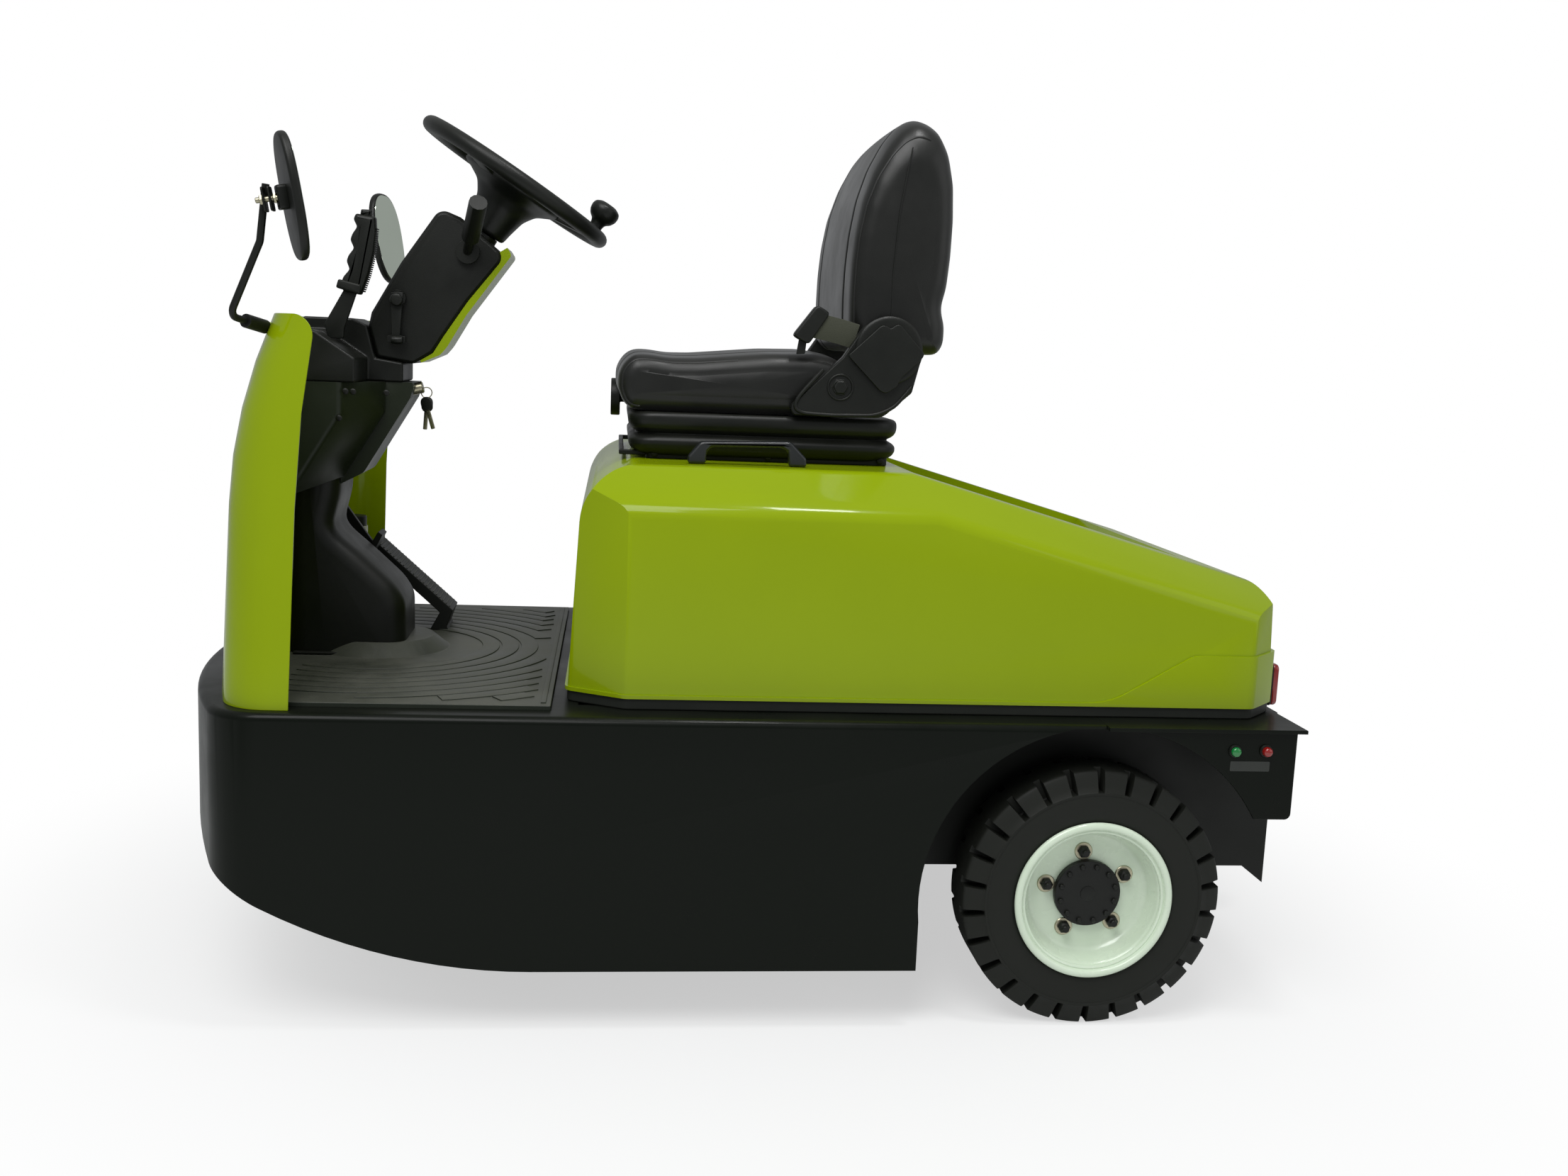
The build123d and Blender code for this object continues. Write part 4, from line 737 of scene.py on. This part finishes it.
# %% [markdown]
# The cushion is a low wedge with a rolled front edge. The back leans, hollows at the waist and
# rounds off at the shoulders. Both outlines are drawn as the driver's left side shows them.

# %% Seat cushion and back
cushion_outline = [(750, 1012), (760, 994), (761, 968), (752, 946), (738, 936), (700, 934.6),
                   (600, 934.6), (500, 934.6), (405, 934.6), (388, 948), (386, 980), (392, 1010),
                   (410, 1028), (450, 1034), (520, 1032), (580, 1026), (640, 1020), (680, 1019),
                   (712, 1023), (736, 1023)]
back_outline = [(388, 1062), (391, 1090), (392, 1130), (391, 1180), (387, 1230), (378, 1285),
                (362, 1335), (340, 1378), (319, 1405), (300, 1416), (280, 1415), (258, 1402),
                (242, 1370), (232, 1320), (229, 1260), (230, 1200), (234, 1150), (241, 1122),
                (240, 1108), (234, 1092), (234, 1060), (244, 1042), (300, 1041), (370, 1043)]
cushion_edge, back_edge = 26, 30
cushion_shape = upholstered(cushion_outline, seat_half, cushion_edge, 9, bolster_seam, 7, (0.3, 1))
back_shape = upholstered(back_outline, seat_half, back_edge, 5, bolster_seam, 10, (1, 0.2), crest)
for name, shape, stood_for in (("seat_cushion_cover", cushion_shape, "seat_cushion"),
                               ("seat_back_cover", back_shape, "seat_back")):
    pad = add_piece(name, [shape], seat_vinyl, "hood_lid", [stood_for])

# %% [markdown]
# Piping and seams. Where the side panels meet the front, the cover is sewn with a thin welt. It
# follows the same outline as the cover, so it is a tube swept along points of that outline.

# %% Seams
welt_radius = 1.8


def welt(outline, width, span, edge, lower=None):
    """Thin tube over part of an outline, on the side panel's edge at a given width.

    The outline draws in as the cover does there, by edge x (1 - sqrt(1 - near^2)), and 0.2 mm more.
    """
    run = smooth_run(outline, outline_points, passes=6, closed=True)
    near = (width - (seat_half - edge)) / edge
    run = run - outline_normals(run) * (edge * (1 - math.sqrt(1 - near ** 2)) + 0.2)
    first, last = span
    ahead, up = run[np.arange(first, last) % len(run)].T
    parts = []
    for side in (1, -1):
        across = np.full(len(ahead), side * width)
        height = lower(ahead, across, up) if lower else up
        path = at(np.column_stack([ahead, across, height]))
        parts.append(swept(path, circle(welt_radius, 8), up=(0, 1, 0)))
    return parts


cushion_welts = welt(cushion_outline, 231, (-46, 26), cushion_edge)
back_welts = welt(back_outline, 228, (4, 96), back_edge, crest)
add_piece("cushion_welts", cushion_welts, seat_vinyl, "hood_lid")
add_piece("back_welts", back_welts, seat_vinyl, "hood_lid")

# %% [markdown]
# Side seams. Stitching joins front and rear on each side of the back. It is one thin dark cord,
# drawn thicker than thread so that it shows, and it follows the side panel's bulge.

# %% Side seams of the back
side_seams = []
for side in (1, -1):
    line = smooth_run([(327, 1096), (328, 1168), (322, 1264), (312, 1330), (306, 1366)], 40,
                      passes=4)
    height = (line[:, 1] - 1228) / 150
    out = seat_half + 0.6 + 3.6 * np.clip(1 - height ** 2, 0, 1)
    path = at(np.column_stack([line[:, 0], side * out, line[:, 1]]))
    side_seams.append(swept(path, circle(1.1, 8), up=(0, 1, 0)))
add_piece("back_side_seams", side_seams, grained_abs, "hood_lid")

# %% [markdown]
# Bellows. Between seat and base a moulded boot hides the suspension. It is a stack of rounded
# rectangles whose size swings in and out: the folds. One table gives the swing at each height.

# %% Seat bellows
folds = [(863, -28), (865, -20), (869, -12), (875, -5), (882, -1.5), (889, -1.5), (893.5, -4.5),
         (896.5, -9), (898.5, -13), (900, -14), (901.5, -13), (904, -8.5), (908, -4), (914, -1),
         (921, 0), (928, -0.5), (932.5, -3), (934.1, -7)]


def rounded_box(length, width, corner, steps=8):
    """Closed outline of a rectangle: a quarter circle about each corner's own centre."""
    outline = []
    for number, (x, y) in enumerate(((1, 1), (-1, 1), (-1, -1), (1, -1))):
        angle = np.linspace(number, number + 1, steps) * math.pi / 2
        outline.append(np.column_stack([x * (length / 2 - corner) + corner * np.cos(angle),
                                        y * (width / 2 - corner) + corner * np.sin(angle)]))
    return np.vstack(outline)


boot_length, boot_width, boot_corner, boot_middle = 442, 486, 42, 523
boot_rings = []
for height, out in smooth_run(folds, 60, passes=1):
    ring = rounded_box(boot_length + 2 * out, boot_width + 2 * out, boot_corner)
    boot_rings.append(np.column_stack([ring + (boot_middle, 0), np.full(len(ring), height)]))
add_piece("seat_boot", [grid_part(at(np.array(boot_rings)))], grained_abs,
          "hood_lid", ["seat_bellows"])

# %% [markdown]
# Mirrors. Each head is an oval shell 13 mm thick with a thin rim round pale glass. It leans with
# its arm and turns in towards the driver, so its own directions are worked out first and the oval
# is drawn in them: a superellipse, which is fuller than an ellipse. A bracket, a zinc stud and
# two nuts clamp it to the rod.

# %% Mirrors
mirror_ahead, mirror_side, mirror_height = 1221, 454, 1224
shell_halves, glass_halves = (54.5, 88.5), (50, 84)
arm_lean = np.array([30.0, 0.0, 166.0])
stud_axis = np.cross((0.0, 1.0, 0.0), unit(arm_lean))
toe_in = math.radians(20)
shell_thickness = 13


def oval(half_width, half_height, power=2.5, count=72):
    """Superellipse: each coordinate is its half size times cos or sin raised to 2 / power."""
    angle = np.linspace(0, 2 * math.pi, count, endpoint=False)
    x, y = np.cos(angle), np.sin(angle)
    return np.column_stack([half_width * np.sign(x) * np.abs(x) ** (2 / power),
                            half_height * np.sign(y) * np.abs(y) ** (2 / power)])


shells, glasses, clamps, studs = [], [], [], []
for side in (1, -1):
    swing = Matrix.Rotation(side * toe_in, 3, "Z")
    mirror_across = np.array(swing @ Vector((0.0, 1.0, 0.0)))
    mirror_up = unit(np.array(swing @ Vector(arm_lean)))
    mirror_back = np.cross(mirror_across, mirror_up)
    middle = at([(mirror_ahead, side * mirror_side, mirror_height)])[0]
    rear_face = middle - shell_thickness / 2 * mm * mirror_back
    shells.append(plate(oval(*shell_halves), rear_face, mirror_across, mirror_up,
                        shell_thickness, edge=5, steps=6))
    glasses.append(plate(oval(*glass_halves), rear_face - 0.4 * mm * mirror_back, mirror_across,
                         mirror_up, 1, edge=0.3, steps=2))
    foot = middle + (shell_thickness / 2 - 1) * mm * mirror_back
    shells.append(plate(rounded_box(26, 34, 5), foot, mirror_across, mirror_up, 14, edge=2))
    studs.append(turned([(tip, 0), (4, 0), (4, 38), (3.2, 39), (tip, 39)],
                        foot + 5 * mm * mirror_back, stud_axis, 16))
    for along in (15, 34):
        studs.append(turned(domed(7.5, 5), foot + along * mm * stud_axis, stud_axis, 6))
    for along in (21, 30):
        clamps.append(plate(rounded_box(22, 34, 4), foot + along * mm * stud_axis, (0, 1, 0),
                            np.cross(stud_axis, (0, 1, 0)), 3, edge=0.8))
add_piece("mirror_shells", shells, grained_abs, "frame", ["mirrors"])
add_piece("mirror_glasses", glasses, mirror_silver, "frame")
add_piece("mirror_clamps", clamps, powder_coat, "frame")
add_piece("mirror_studs", studs, zinc_plate, "frame")

# %% [markdown]
# Arm sleeves. Where a mirror's arm enters the shield, a black sleeve covers the joint. It is a
# turned profile laid along the arm.

# %% Arm sleeves
sleeve = [(tip, 0), (9.4, 0), (10.2, 1), (10.2, 44), (tip, 44)]
sleeves = []
for side in (1, -1):
    outer_end = at([(1297.5, side * 403, 1050.2)])[0]
    inward = unit(np.array([-15.0, side * -30.0, -6.0]))
    sleeves.append(turned(sleeve, outer_end, inward, 28))
add_piece("arm_sleeves", sleeves, powder_coat, "frame")

# %% [markdown]
# Handbrake. The grip is moulded over a flat steel arm: four finger dents in front, 31 fine ribs
# behind and a release button on top. The grip is its side outline given a thickness with rounded
# edges, and the ribs are short rounded bars laid on its back.

# %% Handbrake
grip_outline = [(1156, 1225), (1187, 1229), (1191, 1220), (1185, 1208), (1193, 1196), (1196, 1187),
                (1190, 1174), (1199, 1162), (1202, 1153), (1197, 1140), (1207, 1128), (1211, 1117),
                (1207, 1104), (1179, 1100), (1168, 1130), (1159, 1166), (1155, 1200)]
arm_outline = [(1184, 1112), (1204, 1112), (1238, 1051), (1231, 1028.6), (1207, 1028.6),
               (1207, 1044)]
collar_outline = [(1178, 1116), (1214, 1124), (1218, 1110), (1180, 1100)]
button_outline = [(1163, 1224), (1181, 1225), (1179, 1236), (1162, 1236)]
grip_middle = 118
rib_half = 10
rib_count = 31


def side_plate(outline, left, right, edge, count, passes=1):
    """Side outline of (ahead, up), smoothed and given a thickness from left to right width."""
    outline = smooth_run(outline, count, passes, closed=True)
    start = at([(0, left, 0)])[0]
    return plate(outline, start, (1, 0, 0), (0, 0, 1), left - right, edge, steps=5)


grip_parts = [side_plate(grip_outline, 131, 105, 7, 150, 2)]
rib_line = smooth_run([(1154, 1206), (1158, 1166), (1166, 1132), (1175, 1106)], rib_count, passes=2)
for ahead, up in rib_line:
    path = at([(ahead, grip_middle + shift, up) for shift in (-rib_half, 0, rib_half)])
    grip_parts.append(swept(path, circle(1.3, 8)))
arm_parts = [side_plate(arm_outline, 124, 112, 1.5, 60),
             side_plate(collar_outline, 133, 103, 3, 40)]
button_parts = [side_plate(button_outline, 126, 110, 4, 40)]
add_piece("handbrake_grip", grip_parts, grained_abs, "frame", ["handbrake"])
add_piece("handbrake_arm", arm_parts, powder_coat, "frame")
add_piece("handbrake_button", button_parts, grained_abs, "frame")

# %% [markdown]
# Buttons and blank plates. On each fender sit a green and a red push button, whose domed heads
# stand in black collars, with a thin blank plate below. Heads and collars are turned profiles.

# %% Buttons and blank plates
fender_face = 490
collar = [(tip, 0), (10.6, 0), (10.6, 2.4), (9.4, 4), (tip, 4)]
green_heads, red_heads, collars, labels = [], [], [], []
for side in (1, -1):
    for ahead, up, reach, heads in ((-205, 454, 7, green_heads), (-255, 455, 10, red_heads)):
        spot = at([(ahead, side * fender_face, up)])[0]
        head = [(tip, 3), (7.6, 3), (7.6, 4 + reach * 0.45), (6.9, 4 + reach * 0.7),
                (5.2, 4 + reach * 0.88), (2.6, 4 + reach * 0.97), (tip, 4 + reach)]
        collars.append(turned(collar, spot, (0, side, 0), 40))
        heads.append(turned(head, spot, (0, side, 0), 32))
    labels.append(plate(rounded_box(64, 16, 2), at([(-231, side * fender_face, 430)])[0],
                        (-side, 0, 0), (0, 0, 1), 0.5, edge=0.1, steps=2))
add_piece("button_collars", collars, grained_abs, "frame", ["fender_buttons"])
add_piece("green_buttons", green_heads, green_lens, "frame")
add_piece("red_buttons", red_heads, red_lens, "frame")
add_piece("blank_fender_labels", labels, blank_label, "frame")

# %% [markdown]
# Tail lamps. A clear red lens with soft edges stands on a thin black seat. Both are plates with
# rounded edges, whose outline lies upright across the tail.

# %% Tail lamps
seats, lenses = [], []
for side in (1, -1):
    lamp = at([(-309.2, side * 328, 532)])[0]
    seats.append(plate(rounded_box(72, 70, 10), lamp, (0, -1, 0), (0, 0, 1), 5, edge=1))
    lenses.append(plate(rounded_box(70, 68, 9), lamp + (-4 * mm, 0, 0), (0, -1, 0), (0, 0, 1), 11,
                        edge=4, steps=6))
add_piece("lamp_seats", seats, grained_abs, "hood_lid", ["tail_lamps"])
add_piece("lamp_lenses", lenses, red_lens, "hood_lid")

# %% [markdown]
# Steering wheel. Rim, spokes and a trumpet-shaped hub are one soft moulding over steel, tilted 32
# degrees. The rim is a circle turned about the tilted axis, the hub is a turned profile, and the
# knob that lets the driver steer with one hand is another, at the rim's rear.

# %% Steering wheel
wheel_tilt = math.radians(31.8)
rim_radius = 166
knob_radius = 149
spoke_count = 3
wheel_axis = np.array([-math.sin(wheel_tilt), 0, math.cos(wheel_tilt)])
wheel_rearward = np.array([-math.cos(wheel_tilt), 0, -math.sin(wheel_tilt)])
wheel_middle = at([(941, 0, 1301.5)])[0]
grip = circle(14, 20) * (1, 0.93) + (rim_radius, 0)
hub_profile = smooth_run([(tip, -99.7), (35, -99.7), (38, -80), (45, -50), (58, -30), (80, -18),
                          (93, -13), (94, -8), (88, -4), (60, 0), (30, 3), (tip, 4)], 60, passes=2)
knob_profile = smooth_run([(tip, 2), (15, 3), (12, 10), (11, 18), (13, 25), (20, 30), (24.6, 38),
                           (25.6, 47), (23, 54), (14, 59), (tip, 60)], 48, passes=2)
knob_place = wheel_middle + knob_radius * mm * wheel_rearward
wheel_parts = [turned(grip, wheel_middle, wheel_axis, 144, ring=True),
               turned(hub_profile, wheel_middle, wheel_axis, 96),
               turned(knob_profile, knob_place, wheel_axis, 40)]
reach = np.array([72, 84, 96, 112, 130, 146, 158])
drop = np.array([-12, -11, -9.5, -7.5, -5, -3, -1.5])
for spoke in range(spoke_count):
    angle = 2 * math.pi * spoke / spoke_count
    along_spoke = (math.cos(angle) * wheel_rearward
                   + math.sin(angle) * np.cross(wheel_axis, wheel_rearward))
    path = wheel_middle + (reach[:, None] * along_spoke + drop[:, None] * wheel_axis) * mm
    wheel_parts.append(swept(path, rounded_box(34, 9, 4, 5), up=wheel_axis))
add_piece("steering_wheel_moulding", wheel_parts, grained_abs, "steering_wheel",
          ["steering_wheel"])

# %% [markdown]
# Recliner. On the seat's side a pressed cover carries a round boss, a diamond plate and a ringed
# bolt, and a raised lip runs round its lower lobe. They are added over the softened cover as
# turned profiles, a rounded plate and a tube that follows the lip.

# %% Recliner
boss_profile = smooth_run([(tip, 0), (54, 0), (56, 2), (55, 5), (50, 6.5), (tip, 6.5)], 40, 2)
diamond = [(398, 1036), (346, 1086), (338, 1085), (331, 1080), (324, 1087), (316, 1088),
           (274, 1043), (279, 1034), (312, 1002), (316, 990), (334, 978), (343, 981)]
lip = smooth_run([(436, 1012), (474, 968), (483, 950), (470, 942), (420, 940), (348, 942),
                  (318, 956), (291, 990)], 48, passes=4)
recliner, bolts = [], []
for side in (1, -1):
    sideways = (0, side, 0)
    recliner.append(turned(boss_profile, at([(331, side * 259.5, 1046)])[0], sideways, 72))
    left, right = (270, 264.5) if side > 0 else (-264.5, -270)
    recliner.append(side_plate(diamond, left, right, 1.6, 90))
    path = at(np.column_stack([lip[:, 0], np.full(len(lip), side * 260.5), lip[:, 1]]))
    recliner.append(swept(path, circle(3.2, 10), up=(0, 1, 0)))
    bolt_place = at([(407, side * 260, 985)])[0]
    for radius in (20, 11):
        ring = circle(1.8, 10) + (radius, 1)
        recliner.append(turned(ring, bolt_place, sideways, 40, ring=True))
    bolts.append(turned(domed(7, 5), bolt_place, sideways, 6))
add_piece("recliner_fittings", recliner, grained_abs, "hood_lid")
add_piece("recliner_bolts", bolts, black_casting, "hood_lid")

# %% [markdown]
# Belt. A plastic cover shields the buckle, and a stub of webbing runs from it back to the
# recliner. The webbing is a thin rounded section swept along its line; a simulation would lose
# its edges.

# %% Belt
webbing_width = 40
webbing_thickness = 1.6
webbing_side = 248.5
buckle = side_plate([(486, 1064), (460, 1050), (427, 1102), (449, 1114)], 254, 228, 4, 40, 2)
add_piece("buckle_cover", [buckle], grained_abs, "hood_lid")
belt_line = smooth_run([(449, 1081), (428, 1077), (405, 1072), (384, 1066)], 14, passes=3)
belt_side = np.full(len(belt_line), webbing_side)
belt_path = at(np.column_stack([belt_line[:, 0], belt_side, belt_line[:, 1]]))
belt_section = rounded_box(webbing_thickness, webbing_width, 0.7, 3)
belt = add_piece("belt_webbing", [swept(belt_path, belt_section)], belt_webbing,
                 "hood_lid")

# %% [markdown]
# Keys. A ring with two keys hangs in the lock. The lock and the ring are turned profiles; each
# key is an oval plastic bow with a flat blade below it.

# %% Keys
lock = at([(1096, 22, 951)])[0]
lock_axis = unit(np.array([-1.0, 0, 0.25]))
key_parts = [turned([(tip, -14), (10, -14), (10, 3), (8.6, 4.6), (tip, 4.6)], lock, lock_axis, 32),
             turned(circle(0.9, 8) + (9, 0), lock + (-0.010, 0, -0.008), (0, 1, 0.2), 32,
                    ring=True)]
bows = []
for lean, low in ((0.05, 0), (-0.3, 3)):
    down = np.array([lean, 0.12, -1.0]) / math.hypot(lean, 0.12, 1.0)
    across = unit(np.cross(down, (0.3, 1.0, 0)))
    bow = lock + (-0.010, 0.002 * low, -0.028)
    bows.append(plate(oval(10, 13), bow, across, -down, 5, edge=1.5))
    blade = rounded_box(7, 34, 1.5) - (0, 26)
    key_parts.append(plate(blade, bow, across, -down, 2, edge=0.4))
add_piece("lock_and_keys", key_parts, zinc_plate, "frame", ["ignition_key"])
add_piece("key_bows", bows, grained_abs, "frame")

# %% [markdown]
# Small screws and pedal ribs. Domed screws hold the dash's wings and the seat's base; each is the
# same turned profile at its own place. The pedal's ribs are thin bars across its rubber.

# %% Screws and pedal ribs
dash_side = 184.6
base_side = 219.6
dash_screws = ((1194, 946), (1204, 903), (1182, 946), (1130, 946))
screws = []
for side in (1, -1):
    for ahead, up in dash_screws:
        screws.append(turned(domed(5, 3), at([(ahead, side * dash_side, up)])[0], (0, side, 0), 20))
add_piece("panel_screws", screws, black_casting, "frame")
base_bolts = [turned(domed(6.5, 5), at([(ahead, side * base_side, 866.5)])[0], (0, side, 0), 6)
              for ahead in (330, 515, 700) for side in (1, -1)]
add_piece("seat_base_bolts", base_bolts, black_casting, "hood_lid")
pedal_foot, pedal_rise = np.array([1057, 535]), np.array([140, 125])
pedal_ribs = []
for share in np.linspace(0.05, 0.95, 22):
    ahead, up = pedal_foot + share * pedal_rise
    path = at([(ahead, width, up) for width in (-160, -200, -240)])
    pedal_ribs.append(swept(path, circle(1.5, 8)))
add_piece("accelerator_ribs", pedal_ribs, floor_rubber, "frame")

# %% [markdown]
# Pedestal. The steering column's foot is one soft moulding whose edges are rounded by 30 mm, with
# a thin flange and four screws on the mat. Its side outline gets a thickness with those round
# edges. Below the mat's face the shape is cut flat, so that it stands on the mat, and its top
# runs up into the lower dash.

# %% Pedestal
pedestal_foot = 497.2
flange_top = 502
pedestal_outline = [(1113, 462), (1114, 588), (1132, 616), (1186, 666), (1226, 700), (1236, 716),
                    (1222, 770), (1221, 800), (1226, 830), (1262, 834), (1296, 826), (1309, 790),
                    (1309, 600), (1309, 462)]
flange_outline = [(1100, pedestal_foot), (1300, pedestal_foot), (1300, flange_top),
                  (1100, flange_top)]
points, quads, ends = side_plate(pedestal_outline, 86, -86, 30, 160, 4)
points[:, 2] = np.maximum(points[:, 2], pedestal_foot * mm)
pedestal_parts = [(points, quads, ends), side_plate(flange_outline, 96, -96, 1.5, 60)]
add_piece("pedestal_moulding", pedestal_parts, grained_abs, "frame", ["pedestal"])
flange_screws = [turned(domed(6, 5), at([(ahead, width, flange_top - 0.2)])[0], (0, 0, 1), 6)
                 for ahead, width in ((1106, 60), (1106, -60), (1160, 91), (1160, -91))]
add_piece("flange_screws", flange_screws, black_casting, "frame")

# %% [markdown]
# Tilt lever. The lever on the column's side turns on a round boss and ends in a small barrel.
# Both are turned profiles, one about a sideways line and one about a line ahead.

# %% Tilt lever
lever_boss = smooth_run([(tip, 0), (10, 0), (11, 3), (9, 6), (tip, 6.5)], 16, 1)
lever_end = [(tip, -9), (5.5, -9), (6.5, -7), (6.5, 7), (5.5, 9), (tip, 9)]
lever_trim = [turned(lever_boss, at([(1129, 80, 1096)])[0], (0, 1, 0), 28),
              turned(lever_end, at([(1128, 81, 1030)])[0], (1, 0, 0), 20)]
add_piece("tilt_lever_trim", lever_trim, grained_abs, "frame")

# %% [markdown]
# Reservoir cap. A black screw cap closes the white bottle: a turned lid with a rounded rim and
# thirty small upright bars round it for the fingers.

# %% Reservoir cap
cap_ahead, cap_side, cap_radius = 1245, -200, 24.0
cap_foot, cap_top = 685, 703
cap_profile = [(tip, cap_foot), (cap_radius, cap_foot), (cap_radius, cap_top - 2),
               (cap_radius - 1.4, cap_top), (tip, cap_top)]
cap_parts = [turned(cap_profile, at([(cap_ahead, cap_side, 0)])[0], (0, 0, 1), 60)]
for angle in np.linspace(0, 2 * math.pi, 30, endpoint=False):
    ahead = cap_ahead + cap_radius * math.cos(angle)
    width = cap_side + cap_radius * math.sin(angle)
    cap_parts.append(swept(at([(ahead, width, up) for up in (686.5, 694, 700.5)]), circle(0.9, 6)))
add_piece("reservoir_cap", cap_parts, grained_abs, "frame")

# %% [markdown]
# Mat. Curved pads stand 1.8 mm proud of the mat, with narrow grooves between, all round the dome
# of the steering pivot. A pad is a flat rounded section swept along an arc, wherever its ring
# lies on the mat. Cutting grooves out of one sheet would need a Boolean for each of them.

# %% Mat pads
pad_pitch = 34.0
groove = 4.0
pad_height = 2.8
pad_middle = 497.4
dome_reach, farthest_ring = 176, 520
shortest_pad = 5  # degrees, and points too, since the arcs have a point at each degree
mat_rear, mat_front, mat_side = 872, 1268, 418
taper_start, taper = 1080, 0.12
pedestal_side, pedestal_rear = 108, 1090


def on_mat(ahead, width):
    """Whether points lie on the mat and clear of the pedestal; towards the nose the mat narrows."""
    side_limit = mat_side - np.maximum(ahead - taper_start, 0) * taper
    on = (ahead > mat_rear) & (ahead < mat_front) & (np.abs(width) < side_limit)
    return on & ((np.abs(width) > pedestal_side) | (ahead < pedestal_rear))


pads = []
angle = np.linspace(0, 2 * math.pi, 361)
for inner in np.arange(dome_reach, farthest_ring, pad_pitch):
    outer = inner + pad_pitch - groove
    middle = (inner + outer) / 2
    inside = np.all([on_mat(wheelbase + radius * np.cos(angle), radius * np.sin(angle))
                     for radius in (inner, outer)], axis=0)
    numbers = np.flatnonzero(inside)
    for run in np.split(numbers, np.flatnonzero(np.diff(numbers) > 1) + 1):
        if len(run) > shortest_pad:
            path = at(np.column_stack([wheelbase + middle * np.cos(angle[run]),
                                       middle * np.sin(angle[run]),
                                       np.full(len(run), pad_middle)]))
            pads.append(swept(path, rounded_box(outer - inner, pad_height, 1.2, 4)))
border = [(858, 424), (866, 424), (866, -424), (858, -424)]
pads.append(plate(border, at([(0, 0, 496.6)])[0], (1, 0, 0), (0, 1, 0), 2.0, edge=0.6, steps=3))
add_piece("mat_pads", pads, mat_rubber, "frame")

# %% [markdown]
# The studio floor. It is pale paper, and for the camera alone a painted white glow lies over it.
# Close to the machine the glow is 0.55 strong, which is a painted lightening of the machine's
# shadow there. Far from the machine it is pure white, so that no horizon shows. The shadow close by
# stays, but paler.

# %% Studio floor
floor_reach = 40
# Painted glow for the camera alone: its share is 0.55 within fade_start metres of the origin, which
# lightens the shadow there, and 1 beyond fade_end.
fade_start, fade_end, nearest_glow_share = 0.5, 1.7, 0.55
corners = [(-floor_reach, -floor_reach, 0), (floor_reach, -floor_reach, 0),
           (floor_reach, floor_reach, 0), (-floor_reach, floor_reach, 0)]
floor_mesh = bpy.data.meshes.new("studio_floor")
floor_mesh.from_pydata(corners, [], [(0, 1, 2, 3)])
floor = bpy.data.objects.new("studio_floor", floor_mesh)
scene.collection.objects.link(floor)
floor_paint = bpy.data.materials.new("white_studio_floor")
floor_paint.use_nodes = True
floor_tree = floor_paint.node_tree
paper = floor_tree.nodes["Principled BSDF"]
paper.inputs["Base Color"].default_value = srgb("#F0F1F0")
paper.inputs["Roughness"].default_value = 0.95
paper.inputs["Specular IOR Level"].default_value = 0.0
spot = add_node(floor_tree, "TexCoord").outputs["Object"]
away = add_node(floor_tree, "VectorMath", {"operation": "LENGTH"}, {0: spot})
fade = add_node(floor_tree, "MapRange",
                {"interpolation_type": "SMOOTHSTEP", 1: fade_start, 2: fade_end, 3: nearest_glow_share},
                {0: away.outputs["Value"]})
eye = add_node(floor_tree, "LightPath")
# Share of painted white glow that the camera sees, near the machine as well as far from it.
camera_glow_share = add_node(floor_tree, "Math", {"operation": "MULTIPLY"},
                    {0: fade.outputs[0], 1: eye.outputs["Is Camera Ray"]})
glow = add_node(floor_tree, "Emission", {"Color": (1, 1, 1, 1), "Strength": 1.0})
floor_mix = add_node(floor_tree, "MixShader", {}, {0: camera_glow_share.outputs[0], 1: paper.outputs[0],
                                                   2: glow.outputs[0]})
floor_output = floor_tree.nodes["Material Output"]
floor_tree.links.new(floor_mix.outputs[0], floor_output.inputs["Surface"])
floor_mesh.materials.append(floor_paint)
print("floor:", 2 * floor_reach, "m square")

# %% [markdown]
# The sky. A plain grey-white sky lights the machine evenly. The camera, and whatever looks
# through clear plastic, sees pure white instead; that white adds no light and isn't in the
# reflections, so that the black pieces stay dark.

# %% Sky
sky_strength = 0.42
world = bpy.data.worlds.new("plain_sky")
world.use_nodes = True
scene.world = world
sky = world.node_tree
soft_sky = sky.nodes["Background"]
soft_sky.inputs["Color"].default_value = (0.9, 0.92, 0.95, 1)
soft_sky.inputs["Strength"].default_value = sky_strength
white_sky = add_node(sky, "Background", {"Color": (1, 1, 1, 1), "Strength": 1.0})
seen = add_node(sky, "LightPath")
either = add_node(sky, "Math", {"operation": "MAXIMUM"},
                  {0: seen.outputs["Is Camera Ray"], 1: seen.outputs["Is Transmission Ray"]})
mixed_sky = add_node(sky, "MixShader", {}, {0: either.outputs[0], 1: soft_sky.outputs[0],
                                            2: white_sky.outputs[0]})
sky.links.new(mixed_sky.outputs[0], sky.nodes["World Output"].inputs["Surface"])
print("sky strength:", sky_strength)

# %% [markdown]
# The lamps. A large soft one stands high on the driver's left, where the camera is, and a weaker
# one behind fills its shadows. A small one under the ceiling leaves a streak along the hood's
# creases.

# %% Lamps
look_at = np.array([0, 0, 0.5])
lamps = {"key": ((1.2, 2.6, 4.2), 2.5, 120), "fill": ((-3, 2, 2), 2.5, 14),
         "ceiling tube": ((-0.5, 0.9, 3.4), 0.45, 22)}
for lamp_name, (place, size, power) in lamps.items():
    light = bpy.data.lights.new(lamp_name, "AREA")
    light.shape = "SQUARE"
    light.size = size
    light.energy = power
    lamp_object = bpy.data.objects.new(lamp_name, light)
    scene.collection.objects.link(lamp_object)
    backwards, side_axis, other_axis = side_axes(np.array(place) - look_at)
    placed = np.eye(4)
    placed[:3] = np.column_stack([side_axis, other_axis, backwards, place])
    lamp_object.matrix_world = Matrix(placed.tolist())
scene.view_settings.view_transform = "Standard"
print("lamps:", len(lamps))

# %% [markdown]

# %% The end
import json
